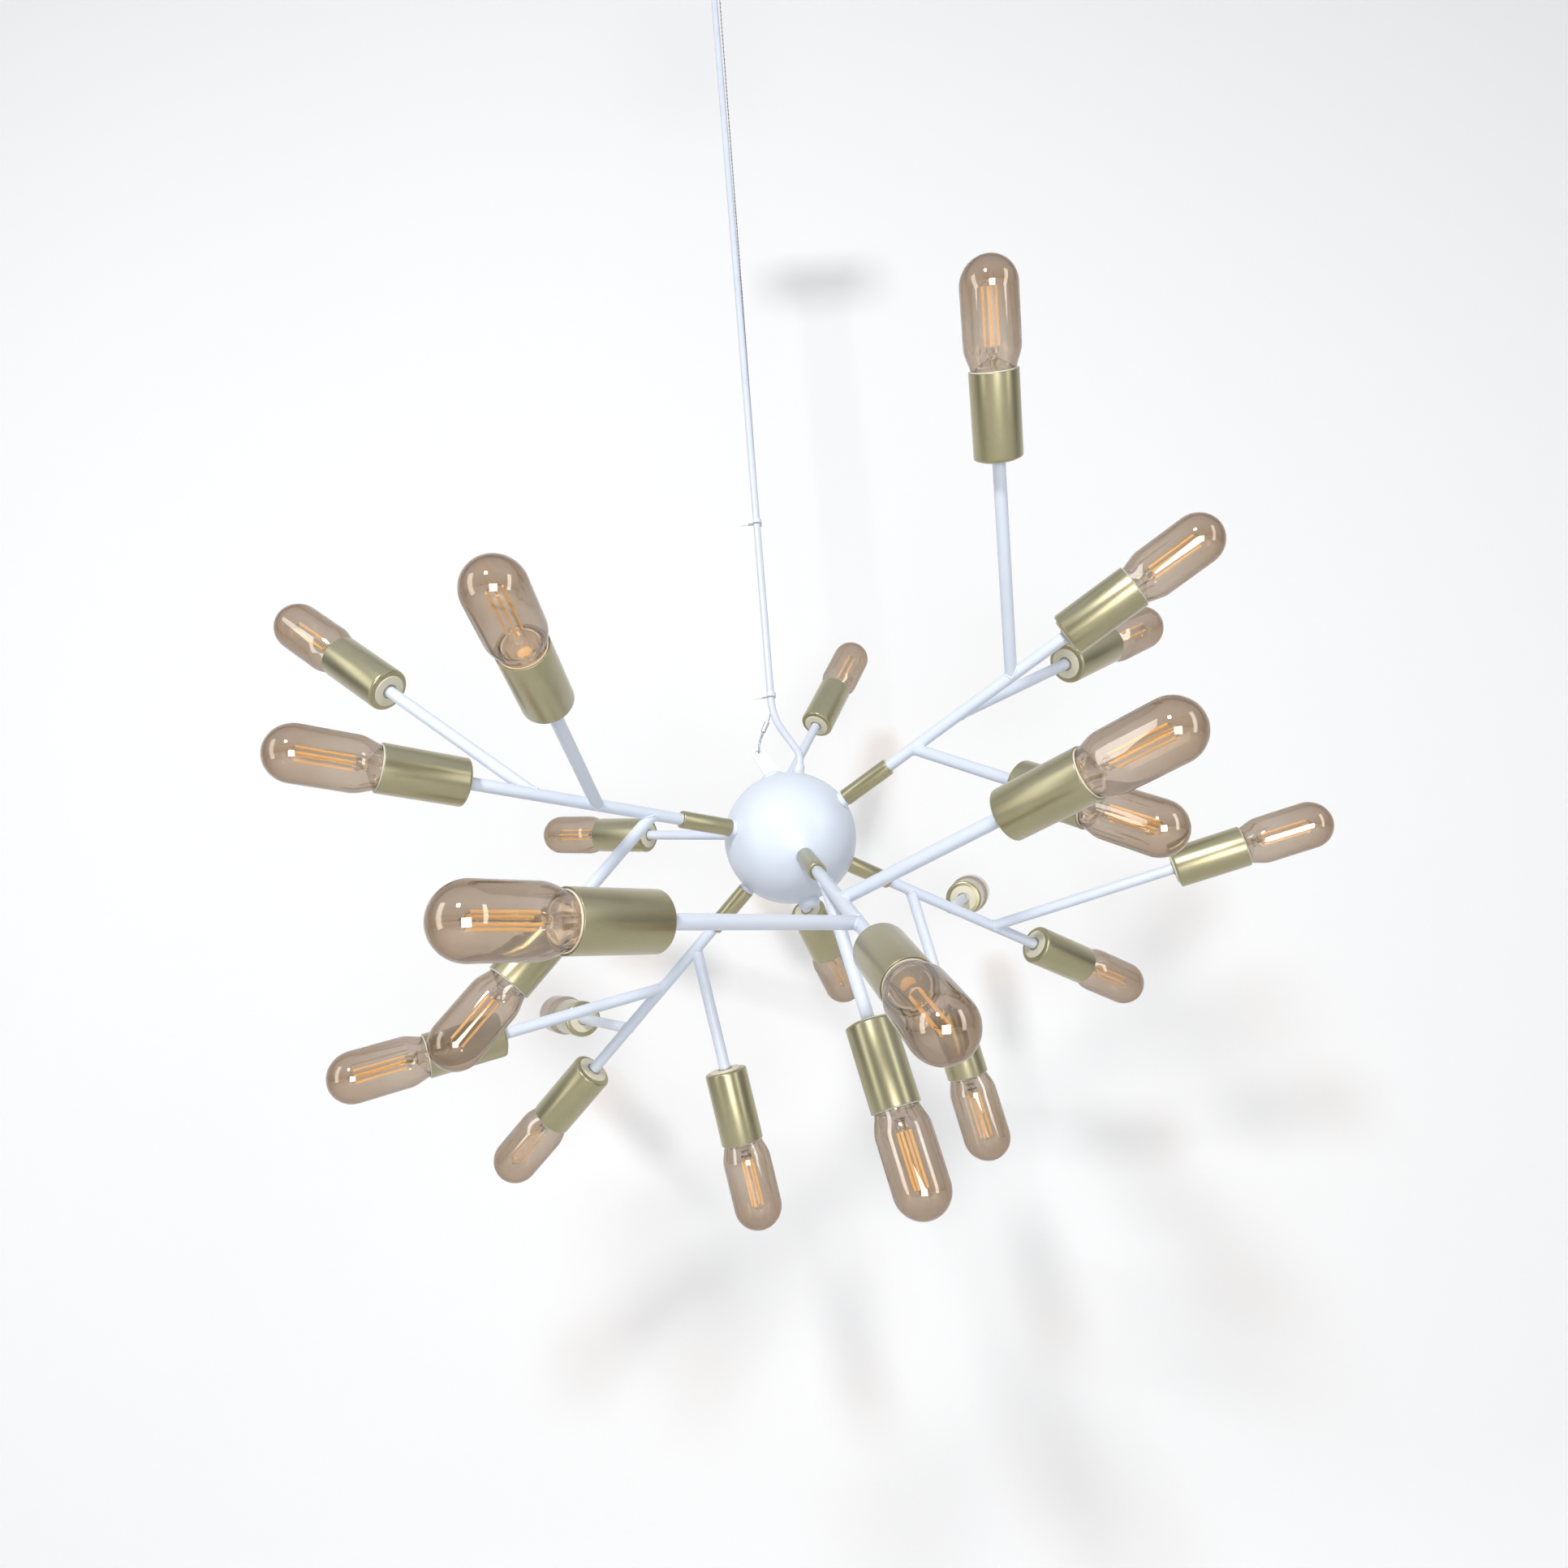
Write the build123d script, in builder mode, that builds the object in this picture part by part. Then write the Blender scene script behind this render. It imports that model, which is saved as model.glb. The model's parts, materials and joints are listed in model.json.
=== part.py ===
"""Sputnik chandelier: a ball hub on a wire, six arms of four lamps each.

Millimetres and degrees. The origin is on the ceiling, over the flex, and +Z is up.
"""

import os
from math import radians, sqrt, tan

from build123d import *

os.makedirs("parts", exist_ok=True)

# ---------------------------------------------------------------- driving sizes
# Hub ball and how it hangs
HUB_RADIUS = 40.0
HUB_WALL = 1.2
HUB_DROP = 730.0  # ceiling to ball centre
HUB_SHIFT = 5.0  # ball centre beside the flex line, along X
HANG_TILT = 11.3  # the ball's axis leans this far to -X
HUB_TURN = -84.6  # bearing of the front arm round the ball's axis
SHELL_LIP_HEIGHT = 3.0  # spigot of the upper half inside the lower half
SHELL_LIP_WALL = 1.0
SHELL_LIP_CLEARANCE = 0.15

# Arms: bearing round the hub, rise above the equator, turn about the arm's own axis
ARM_RISE = 14.8
ARM_DROOP = -28.5
ARMS = {
    "front": (0.0, ARM_DROOP, 0.0),
    "right_upper": (60.0, ARM_RISE, -22.0),
    "right_lower": (120.0, ARM_DROOP, 8.0),
    "back": (180.0, ARM_RISE, -16.0),
    "left_lower": (240.0, ARM_DROOP, -10.0),
    "left_upper": (300.0, ARM_RISE, -22.0),
}
ARM_REACH = 200.0  # ball centre to the back of the end cup
TUBE_RADIUS = 3.5
TUBE_BORE_RADIUS = 2.2

# Side rods: where each leaves the main tube, its bearing, its slant and its length
SIDE_RODS = {
    "inner": (93.0, 0.0, 56.0, 76.0),
    "middle": (127.0, 120.0, 53.0, 102.0),
    "outer": (163.0, 242.0, 58.0, 121.0),
}

# Necks and brass couplings between ball and arm
NECK_RADIUS = 3.9
NECK_BORE_RADIUS = 2.6
NECK_INNER_END = 33.0  # distances from the ball centre
NECK_OUTER_END = 58.0
NECK_COLLAR_RADIUS = 4.7
NECK_COLLAR_LENGTH = 2.8
NECK_BOSS_RADIUS = 6.0
SLEEVE_RADIUS = 5.1
SLEEVE_END = 75.0
ARM_START = 60.0
RUNNING_CLEARANCE = 0.05
SEAT_CLEARANCE = 0.05

# Lamp cups
CUP_LENGTH = 45.0
CUP_RADIUS = 12.9
CUP_WALL = 0.8
CUP_BACK_EDGE = 1.1
CUP_DISC_RADIUS = 9.6
CUP_DISC_HEIGHT = 0.9

# Threaded end of each rod, through the cup's back into the lampholder
STUD_RADIUS = 3.0
STUD_LENGTH = 7.0
STUD_CLEARANCE = 0.05

# Lampholders (E14)
HOLDER_RADIUS = 10.4
HOLDER_FRONT = 31.0  # from the back of the cup
HOLDER_FLOOR = 9.5
HOLDER_BORE_RADIUS = 7.3

# Lamps
LAMP_CAP_RADIUS = 6.9
LAMP_CAP_TIP = 10.5  # from the back of the cup
LAMP_CAP_FRONT = 32.0
BULB_RADIUS = 14.7
BULB_NECK_RADIUS = 11.2
BULB_NECK_END = 45.5
BULB_SHOULDER = 55.0
BULB_TIP = 99.3
BULB_WALL = 0.9
STEM_RADIUS = 3.0
STEM_TOP = 55.0
FILAMENT_WIDTH = 1.6
FILAMENT_THICKNESS = 0.9
FILAMENT_LENGTH = 30.0
FILAMENT_RING_RADIUS = STEM_RADIUS + FILAMENT_THICKNESS / 2
FILAMENT_COUNT = 4
FILAMENT_START = 53.5

# Hanger tab, middle rod, finial
TAB_THICKNESS = 1.6
TAB_FOOT_RADIUS = 6.5
TAB_FOOT_HEIGHT = 2.2
TAB_ROOT_RADIUS = 4.8
TAB_SOCKET_DEPTH = 1.4
TAB_EYE_RADIUS = 4.3
TAB_EYE_HOLE_RADIUS = 2.2
TAB_EYE_HEIGHT = 16.4  # above the top of the ball
TAB_EYE_OFFSET = -4.3
ROD_RADIUS = 2.5
FINIAL_RADIUS = 6.8
FINIAL_HEIGHT = 4.2
FINIAL_THREAD_DEPTH = 3.0
FINIAL_SEAT = 0.5  # how far its middle rises before the ball's curve is cut into it

# Flex gland
GLAND_BEARING = 90.0
GLAND_POLAR = 23.0
GLAND_FOOT_RADIUS = 3.9
GLAND_TIP_RADIUS = 3.1
GLAND_HEIGHT = 7.0
GLAND_SHANK_RADIUS = 3.0
GLAND_SHANK_LENGTH = 5.0
GLAND_FLANGE_HEIGHT = 1.5

# Round connector block on the middle rod, inside the ball
CONNECTOR_RADIUS = 13.0
CONNECTOR_HEIGHT = 12.0
CONNECTOR_WAYS = 12
CONNECTOR_WAY_RADIUS = 1.5
CONNECTOR_WAY_DEPTH = 8.0
CONNECTOR_WAY_CIRCLE = 9.0

# Flex and wire
FLEX_RADIUS = 2.3
OUTLET_CLEARANCE = 0.2
WIRE_RADIUS = 0.5
ARC_SHARE = 0.45  # share of the shorter run that a corner's arc may use
FLEX_EXIT_RUN = 6.0
FLEX_ROUTE = [  # above the ball centre, from the gland to the straight drop
    (11.6, 1.4, 59.2),
    (6.6, 0.8, 66.8),
    (2.1, 0.2, 75.2),
    (0.0, 0.0, 85.0),
]
WIRE_TOP = (4.5, 3.0)
WIRE_TIE = (1.0, 3.4, 84.0)  # above the ball centre
WIRE_LOOP = [  # about the tab's eye: in behind it, through, and back up in front
    (1.1, 2.3, 8.9),
    (0.0, 2.2, 0.9),
    (0.0, -2.2, 0.9),
    (1.1, -2.2, 9.4),
    (5.2, 1.1, 17.5),
]
FERRULE_RADIUS = 1.6
FERRULE_LENGTH = 7.0
TIE_HEIGHTS = (91.0, 211.0)  # above the ball centre
TIE_HEIGHT = 2.6
TIE_BAND = 0.9
TIE_CLEARANCE = 0.1
TIE_HEAD_LENGTH = 3.2
TIE_HEAD_WIDTH = 3.4
TIE_TAIL_LENGTH = 5.0

# Ceiling fitting
CANOPY_RADIUS = 45.0
CANOPY_DEPTH = 25.0
CANOPY_WALL = 1.2
CANOPY_EDGE_RADIUS = 4.0
OUTLET_RADIUS = 9.0
OUTLET_HEIGHT = 8.0
OUTLET_NECK_RADIUS = 7.0
OUTLET_NUT_RADIUS = 9.0
OUTLET_NUT_HEIGHT = 3.0
BRACKET_WIDTH = 18.0
BRACKET_THICKNESS = 2.0
BRACKET_EAR = 14.0
BRACKET_EAR_HOLE_DEPTH = 9.0
BRACKET_CLEARANCE = 0.3
CEILING_SCREW_SPACING = 60.0
CEILING_SCREW_RADIUS = 2.5
CANOPY_SCREW_RADIUS = 2.0
CANOPY_SCREW_HEAD_RADIUS = 4.0
CANOPY_SCREW_HEAD_HEIGHT = 2.5
CANOPY_SCREW_LENGTH = 8.0
TERMINAL_SIZE = (22.0, 14.0, 10.0)
TERMINAL_CORNER = 1.5

# ---------------------------------------------------------------- places
hub_centre = Location((HUB_SHIFT, 0, -HUB_DROP))
hub_hang = hub_centre * Rotation(0, -HANG_TILT, 0)
hub_turn = Rotation(0, 0, HUB_TURN)


def arm_way(bearing, rise, turn):
    """Frame of one arm in the ball's own frame: origin at its centre, +Z out along the main tube."""
    return hub_turn * Rotation(0, 0, bearing) * Rotation(0, 90 - rise, 0) * Rotation(0, 0, turn)


def along(place, distance):
    """The same frame, moved out along its own +Z."""
    return place * Location((0, 0, distance))


def side_rod_place(arm, start, bearing, slant):
    """Frame at a side rod's root on the main tube, +Z out along the rod."""
    return along(arm, start) * Rotation(0, 0, bearing) * Rotation(0, slant, 0)


def lamp_places(arm):
    """Frames at the backs of an arm's four cups, named by where they sit."""
    places = {
        name: along(side_rod_place(arm, start, bearing, slant), length)
        for name, (start, bearing, slant, length) in SIDE_RODS.items()
    }
    places["end"] = along(arm, ARM_REACH)
    return places


arm_ways = {name: arm_way(*pose) for name, pose in ARMS.items()}
arm_places = {name: hub_hang * way for name, way in arm_ways.items()}
upper_ways = [arm_ways[name] for name, pose in ARMS.items() if pose[1] > 0]
lower_ways = [arm_ways[name] for name, pose in ARMS.items() if pose[1] < 0]
gland_way = hub_turn * Rotation(0, 0, GLAND_BEARING) * Rotation(0, GLAND_POLAR, 0)
gland_place = hub_hang * gland_way


def save(part, node):
    """Label a finished piece and write its STEP file."""
    part.label = node
    export_step(part, f"parts/{node}.step")


def placed(part, *places):
    """Copies of a piece that was made at the origin, one at each place."""
    with BuildPart() as copies:
        with Locations(*places):
            add(part)
    return copies.part


def profile_plane(place):
    """Sketch plane through a frame's axis: sketch x is its x, sketch y its axis."""
    return Plane(place * Rotation(90, 0, 0))


# ---------------------------------------------------------------- hub ball
def hub_shell(side, ways):
    """Half of the ball in its own frame, side +1 above its equator or -1 below, with three neck bosses."""
    with BuildPart() as shell:
        with BuildSketch(Plane.XZ):
            with BuildLine():
                outer = CenterArc((0, 0), HUB_RADIUS, 0, side * 90)
                inner = CenterArc((0, 0), HUB_RADIUS - HUB_WALL, 0, side * 90)
                Line(outer @ 0, inner @ 0)
                Line(outer @ 1, inner @ 1)
            make_face()
        revolve(axis=Axis.Z)
        for way in ways:
            with BuildSketch(Plane(along(way, NECK_INNER_END))):
                Circle(NECK_BOSS_RADIUS)
            extrude(amount=HUB_RADIUS - HUB_WALL / 2 - NECK_INNER_END)
            with BuildSketch(Plane(way)):
                Circle(NECK_RADIUS + SEAT_CLEARANCE)
            extrude(amount=HUB_RADIUS, mode=Mode.SUBTRACT)
        with BuildSketch(Plane.XY):
            Circle(ROD_RADIUS + SEAT_CLEARANCE)
        extrude(amount=side * HUB_RADIUS, mode=Mode.SUBTRACT)
    return shell.part


with BuildPart() as upper_shell:
    add(hub_shell(1, upper_ways))
    lip_outer = HUB_RADIUS - HUB_WALL - SHELL_LIP_CLEARANCE
    lip_inner = lip_outer - SHELL_LIP_WALL
    with BuildSketch(Plane.XZ):
        with BuildLine():
            Polyline(
                (lip_inner, -SHELL_LIP_HEIGHT),
                (lip_outer, -SHELL_LIP_HEIGHT),
                (lip_outer, 0),
                (HUB_RADIUS - HUB_WALL / 2, 0),
                (HUB_RADIUS - HUB_WALL / 2, SHELL_LIP_WALL),
                (lip_inner, SHELL_LIP_WALL),
                close=True,
            )
        make_face()
    revolve(axis=Axis.Z)
    with BuildSketch(Plane(gland_way)):
        Circle(GLAND_SHANK_RADIUS + SEAT_CLEARANCE)
    extrude(amount=HUB_RADIUS, mode=Mode.SUBTRACT)
save(placed(upper_shell.part, hub_hang), "hub_upper_shell")

with BuildPart() as lower_shell:
    add(hub_shell(-1, lower_ways))
save(placed(lower_shell.part, hub_hang), "hub_lower_shell")

with BuildPart() as middle_rod:
    with BuildSketch(Plane(along(hub_hang, -HUB_RADIUS - FINIAL_THREAD_DEPTH))):
        Circle(ROD_RADIUS)
    extrude(amount=2 * HUB_RADIUS + FINIAL_THREAD_DEPTH + TAB_SOCKET_DEPTH)
save(middle_rod.part, "hub_middle_rod")

with BuildPart() as connector:
    with BuildSketch(Plane(along(hub_hang, -CONNECTOR_HEIGHT / 2))):
        Circle(CONNECTOR_RADIUS)
        Circle(ROD_RADIUS + SEAT_CLEARANCE, mode=Mode.SUBTRACT)
    extrude(amount=CONNECTOR_HEIGHT)
    with BuildSketch(Plane(along(hub_hang, CONNECTOR_HEIGHT / 2))):
        with PolarLocations(CONNECTOR_WAY_CIRCLE, CONNECTOR_WAYS):
            RegularPolygon(CONNECTOR_WAY_RADIUS, 4)
    extrude(amount=-CONNECTOR_WAY_DEPTH, mode=Mode.SUBTRACT)
save(connector.part, "hub_connector")

with BuildPart() as finial:
    with BuildSketch(Plane.XZ):
        with BuildLine():
            low = -HUB_RADIUS - FINIAL_HEIGHT
            edge_radius = FINIAL_HEIGHT / 2
            edge_middle = FINIAL_RADIUS - edge_radius
            edge = CenterArc((edge_middle, low + edge_radius), edge_radius, -90, 180)
            Polyline(
                edge @ 0,
                (0, low),
                (0, -HUB_RADIUS + FINIAL_SEAT),
                (edge_middle, -HUB_RADIUS + FINIAL_SEAT),
                edge @ 1,
            )
        make_face()
    revolve(axis=Axis.Z)
    with Locations(Rotation(90, 0, 0)):
        Sphere(HUB_RADIUS + SEAT_CLEARANCE, mode=Mode.SUBTRACT)
    with BuildSketch(Plane.XY.offset(-HUB_RADIUS - FINIAL_THREAD_DEPTH)):
        Circle(ROD_RADIUS + SEAT_CLEARANCE)
    extrude(amount=FINIAL_THREAD_DEPTH + FINIAL_SEAT, mode=Mode.SUBTRACT)
save(placed(finial.part, hub_hang), "bottom_finial")

with BuildPart() as tab:
    with BuildSketch(Plane(hub_hang)):
        Circle(TAB_FOOT_RADIUS)
    extrude(amount=HUB_RADIUS + TAB_FOOT_HEIGHT)
    with BuildSketch(profile_plane(hub_hang)) as plate:
        with Locations((0, HUB_RADIUS + TAB_ROOT_RADIUS)):
            Circle(TAB_ROOT_RADIUS)
        with Locations((TAB_EYE_OFFSET, HUB_RADIUS + TAB_EYE_HEIGHT)):
            Circle(TAB_EYE_RADIUS)
        make_hull()
        with Locations((0, HUB_RADIUS + TAB_ROOT_RADIUS / 2)):
            Rectangle(2 * TAB_ROOT_RADIUS, TAB_ROOT_RADIUS)
        with Locations((TAB_EYE_OFFSET, HUB_RADIUS + TAB_EYE_HEIGHT)):
            Circle(TAB_EYE_HOLE_RADIUS, mode=Mode.SUBTRACT)
    extrude(amount=TAB_THICKNESS / 2, both=True)
    with Locations(hub_centre):
        Sphere(HUB_RADIUS + SEAT_CLEARANCE, mode=Mode.SUBTRACT)
    with BuildSketch(Plane(hub_hang)):
        Circle(ROD_RADIUS + SEAT_CLEARANCE)
    extrude(amount=HUB_RADIUS + TAB_SOCKET_DEPTH, mode=Mode.SUBTRACT)
save(tab.part, "hanger_tab")

with BuildPart() as gland:
    with BuildSketch(Plane.XZ):
        with BuildLine():
            Polyline(
                (0, HUB_RADIUS - GLAND_SHANK_LENGTH),
                (GLAND_SHANK_RADIUS, HUB_RADIUS - GLAND_SHANK_LENGTH),
                (GLAND_SHANK_RADIUS, HUB_RADIUS),
                (GLAND_FOOT_RADIUS, HUB_RADIUS),
                (GLAND_FOOT_RADIUS, HUB_RADIUS + GLAND_FLANGE_HEIGHT),
                (GLAND_TIP_RADIUS, HUB_RADIUS + GLAND_HEIGHT),
                (0, HUB_RADIUS + GLAND_HEIGHT),
                close=True,
            )
        make_face()
    revolve(axis=Axis.Z)
save(placed(gland.part, gland_place), "flex_gland")

# ---------------------------------------------------------------- necks and couplings
collar_start = HUB_RADIUS + SEAT_CLEARANCE
sleeve_start = collar_start + NECK_COLLAR_LENGTH

with BuildPart() as neck:
    with BuildSketch(Plane.XZ):
        with BuildLine():
            Polyline(
                (NECK_BORE_RADIUS, NECK_INNER_END),
                (NECK_RADIUS, NECK_INNER_END),
                (NECK_RADIUS, collar_start),
                (NECK_COLLAR_RADIUS, collar_start),
                (NECK_COLLAR_RADIUS, sleeve_start),
                (NECK_RADIUS, sleeve_start),
                (NECK_RADIUS, NECK_OUTER_END),
                (NECK_BORE_RADIUS, NECK_OUTER_END),
                close=True,
            )
        make_face()
    revolve(axis=Axis.Z)
save(placed(neck.part, *arm_places.values()), "arm_necks")

with BuildPart() as sleeve:
    with BuildSketch(Plane.XZ):
        with BuildLine():
            neck_bore = NECK_RADIUS + SEAT_CLEARANCE
            tube_bore = TUBE_RADIUS + RUNNING_CLEARANCE
            shoulder = (NECK_OUTER_END + ARM_START) / 2
            Polyline(
                (neck_bore, sleeve_start),
                (SLEEVE_RADIUS, sleeve_start),
                (SLEEVE_RADIUS, SLEEVE_END),
                (tube_bore, SLEEVE_END),
                (tube_bore, shoulder),
                (neck_bore, shoulder),
                close=True,
            )
        make_face()
    revolve(axis=Axis.Z)
save(placed(sleeve.part, *arm_places.values()), "coupling_sleeves")

# ---------------------------------------------------------------- arms
arm_origin = Location()
with BuildPart() as arm_frame:
    with BuildSketch(Plane(along(arm_origin, ARM_START))):
        Circle(TUBE_RADIUS)
    extrude(amount=ARM_REACH - ARM_START)
    for root_distance, rod_bearing, rod_slant, rod_length in SIDE_RODS.values():
        with BuildSketch(Plane(side_rod_place(arm_origin, root_distance, rod_bearing, rod_slant))):
            Circle(TUBE_RADIUS)
        extrude(amount=rod_length)
    for lamp in lamp_places(arm_origin).values():
        with BuildSketch(Plane(lamp)):
            Circle(STUD_RADIUS)
        extrude(amount=STUD_LENGTH)
    with BuildSketch(Plane(along(arm_origin, ARM_START))):
        Circle(TUBE_BORE_RADIUS)
    extrude(amount=ARM_REACH - ARM_START + STUD_LENGTH, mode=Mode.SUBTRACT)
    for root_distance, rod_bearing, rod_slant, rod_length in SIDE_RODS.values():
        with BuildSketch(Plane(side_rod_place(arm_origin, root_distance, rod_bearing, rod_slant))):
            Circle(TUBE_BORE_RADIUS)
        extrude(amount=rod_length + STUD_LENGTH, mode=Mode.SUBTRACT)

# ---------------------------------------------------------------- cups and lampholders
cup_floor = CUP_DISC_HEIGHT + CUP_WALL
stud_hole = STUD_RADIUS + STUD_CLEARANCE

with BuildPart() as cup:
    with BuildSketch(Plane.XZ):
        with BuildLine():
            Polyline(
                (stud_hole, 0),
                (CUP_DISC_RADIUS, 0),
                (CUP_DISC_RADIUS, CUP_DISC_HEIGHT),
                (CUP_RADIUS - CUP_BACK_EDGE, CUP_DISC_HEIGHT),
                (CUP_RADIUS, CUP_DISC_HEIGHT + CUP_BACK_EDGE),
                (CUP_RADIUS, CUP_LENGTH),
                (CUP_RADIUS - CUP_WALL, CUP_LENGTH),
                (CUP_RADIUS - CUP_WALL, cup_floor),
                (stud_hole, cup_floor),
                close=True,
            )
        make_face()
    revolve(axis=Axis.Z)

with BuildPart() as holder:
    with BuildSketch(Plane.XZ):
        with BuildLine():
            Polyline(
                (0, HOLDER_FLOOR),
                (HOLDER_BORE_RADIUS, HOLDER_FLOOR),
                (HOLDER_BORE_RADIUS, HOLDER_FRONT),
                (HOLDER_RADIUS, HOLDER_FRONT),
                (HOLDER_RADIUS, cup_floor),
                (stud_hole, cup_floor),
                (stud_hole, STUD_LENGTH + STUD_CLEARANCE),
                (0, STUD_LENGTH + STUD_CLEARANCE),
                close=True,
            )
        make_face()
    revolve(axis=Axis.Z)


# ---------------------------------------------------------------- lamps
def bulb_section(inset):
    """Half-section of the glass, its outline drawn in by a wall's thickness."""
    radius = BULB_RADIUS - inset
    neck = BULB_NECK_RADIUS - inset
    low = LAMP_CAP_FRONT + inset
    with BuildSketch(Plane.XZ) as section:
        with BuildLine():
            dome = CenterArc((0, BULB_TIP - BULB_RADIUS), radius, 0, 90)
            Polyline(
                dome @ 1,
                (0, low),
                (neck, low),
                (neck, BULB_NECK_END),
                (radius, BULB_SHOULDER),
                dome @ 0,
            )
        make_face()
    return section.sketch


with BuildPart() as lamp_cap:
    with BuildSketch(Plane.XY.offset(LAMP_CAP_TIP)):
        Circle(LAMP_CAP_RADIUS)
    extrude(amount=LAMP_CAP_FRONT - LAMP_CAP_TIP)

with BuildPart() as glass:
    add(bulb_section(0))
    revolve(axis=Axis.Z)
    add(bulb_section(BULB_WALL))
    revolve(axis=Axis.Z, mode=Mode.SUBTRACT)

stem_base = LAMP_CAP_FRONT + BULB_WALL
with BuildPart() as stem:
    with BuildSketch(Plane.XY.offset(stem_base)):
        Circle(STEM_RADIUS)
    extrude(amount=STEM_TOP - stem_base)

with BuildPart() as filaments:
    with BuildSketch(Plane.XY.offset(FILAMENT_START)):
        with PolarLocations(FILAMENT_RING_RADIUS, FILAMENT_COUNT):
            Rectangle(FILAMENT_THICKNESS, FILAMENT_WIDTH)
    extrude(amount=FILAMENT_LENGTH)

lamp_solids = [
    solid for piece in (lamp_cap, glass, stem, filaments) for solid in piece.part.solids()
]

for name, arm in arm_places.items():
    save(placed(arm_frame.part, arm), f"arm_{name}")
    lamps = lamp_places(arm)
    save(placed(cup.part, *lamps.values()), f"cups_{name}")
    save(placed(holder.part, *lamps.values()), f"lampholders_{name}")
    for spot, lamp in lamps.items():
        save(Compound(children=[solid.moved(lamp) for solid in lamp_solids]), f"bulb_{name}_{spot}")


# ---------------------------------------------------------------- flex and wire
def corner_radii(points):
    """Arc radius at each corner, as large as the shorter run beside it allows."""
    radii = []
    for before, corner, after in zip(points, points[1:], points[2:]):
        inward, outward = corner - before, after - corner
        turn = inward.get_angle(outward)
        radii.append(ARC_SHARE * min(inward.length, outward.length) / tan(radians(turn / 2)))
    return radii


def cord(node, points, radius):
    """Round tube along straight runs joined by tangent arcs."""
    route = [Vector(*point) for point in points]
    radii = corner_radii(route)
    with BuildPart() as tube:
        with BuildLine():
            path = FilletPolyline(*route, radius=radii)
        with BuildSketch(Plane(origin=path @ 0, z_dir=path % 0)) as section:
            Circle(radius)
        sweep()
    expected = section.sketch.area * path.length
    print(f"{node}: length {path.length:.1f}, volume {tube.part.volume / expected:.4f} of section x length")
    print(f"{node}: radii {[round(r, 1) for r in radii]}")
    print(f"{node}: points {[(round(p.X, 2), round(p.Y, 2), round(p.Z, 2)) for p in route]}")
    save(tube.part, node)


def above_hub(x, y, height):
    """A point given by its height over the ball centre."""
    return (x, y, height - HUB_DROP)


gland_mouth = along(gland_place, HUB_RADIUS + GLAND_HEIGHT)
terminal_bottom = -BRACKET_THICKNESS - TERMINAL_SIZE[2]
flex_points = [
    tuple(gland_mouth.position),
    tuple(along(gland_mouth, FLEX_EXIT_RUN).position),
    *[above_hub(*point) for point in FLEX_ROUTE],
    (FLEX_ROUTE[-1][0], FLEX_ROUTE[-1][1], terminal_bottom),
]
cord("supply_flex", flex_points, FLEX_RADIUS)

canopy_floor = -CANOPY_DEPTH + CANOPY_WALL
nut_top = canopy_floor + OUTLET_NUT_HEIGHT
wire_end_height = nut_top + FERRULE_LENGTH
eye = (hub_hang * Location((TAB_EYE_OFFSET, 0, HUB_RADIUS + TAB_EYE_HEIGHT))).position
wire_points = [
    (*WIRE_TOP, wire_end_height),
    above_hub(*WIRE_TIE),
    *[(eye.X + x, eye.Y + y, eye.Z + z) for x, y, z in WIRE_LOOP],
]
cord("suspension_wire", wire_points, WIRE_RADIUS)

wire_standing = Vector(*wire_points[1]) - Vector(*wire_points[2])
with BuildPart() as ferrules:
    with BuildSketch(Plane(origin=(*WIRE_TOP, nut_top))):
        Circle(FERRULE_RADIUS)
    extrude(amount=FERRULE_LENGTH)
    with BuildSketch(Plane(origin=wire_points[-1], z_dir=wire_standing)):
        Circle(FERRULE_RADIUS)
    extrude(amount=FERRULE_LENGTH / 2, both=True)
save(ferrules.part, "wire_ferrules")

with BuildPart() as ties:
    for tie_height in TIE_HEIGHTS:
        share = (tie_height - WIRE_TIE[2]) / (HUB_DROP - WIRE_TIE[2])
        wire_spot = [low + share * (high - low) for low, high in zip(WIRE_TIE, WIRE_TOP)]
        level = Plane(origin=above_hub(0, 0, tie_height))
        with BuildSketch(level):
            Circle(FLEX_RADIUS + TIE_CLEARANCE + TIE_BAND)
            with Locations(tuple(wire_spot)):
                Circle(WIRE_RADIUS + TIE_CLEARANCE + TIE_BAND)
            make_hull()
            with Locations((-FLEX_RADIUS - TIE_CLEARANCE - TIE_HEAD_LENGTH / 2, 0)):
                Rectangle(TIE_HEAD_LENGTH, TIE_HEAD_WIDTH)
            Circle(FLEX_RADIUS + TIE_CLEARANCE, mode=Mode.SUBTRACT)
            with Locations(tuple(wire_spot)):
                Circle(WIRE_RADIUS + TIE_CLEARANCE, mode=Mode.SUBTRACT)
        extrude(amount=TIE_HEIGHT)
        with BuildSketch(level):
            with Locations((-FLEX_RADIUS - TIE_HEAD_LENGTH - TIE_TAIL_LENGTH / 2, TIE_BAND)):
                Rectangle(TIE_TAIL_LENGTH, TIE_BAND)
        extrude(amount=TIE_HEIGHT)
save(ties.part, "flex_ties")

# ---------------------------------------------------------------- ceiling fitting
screw_level = -BRACKET_EAR_HOLE_DEPTH
bracket_corner = CANOPY_RADIUS - CANOPY_WALL - BRACKET_CLEARANCE  # from the canopy's axis
bracket_half = sqrt(bracket_corner**2 - (BRACKET_WIDTH / 2) ** 2)

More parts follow.
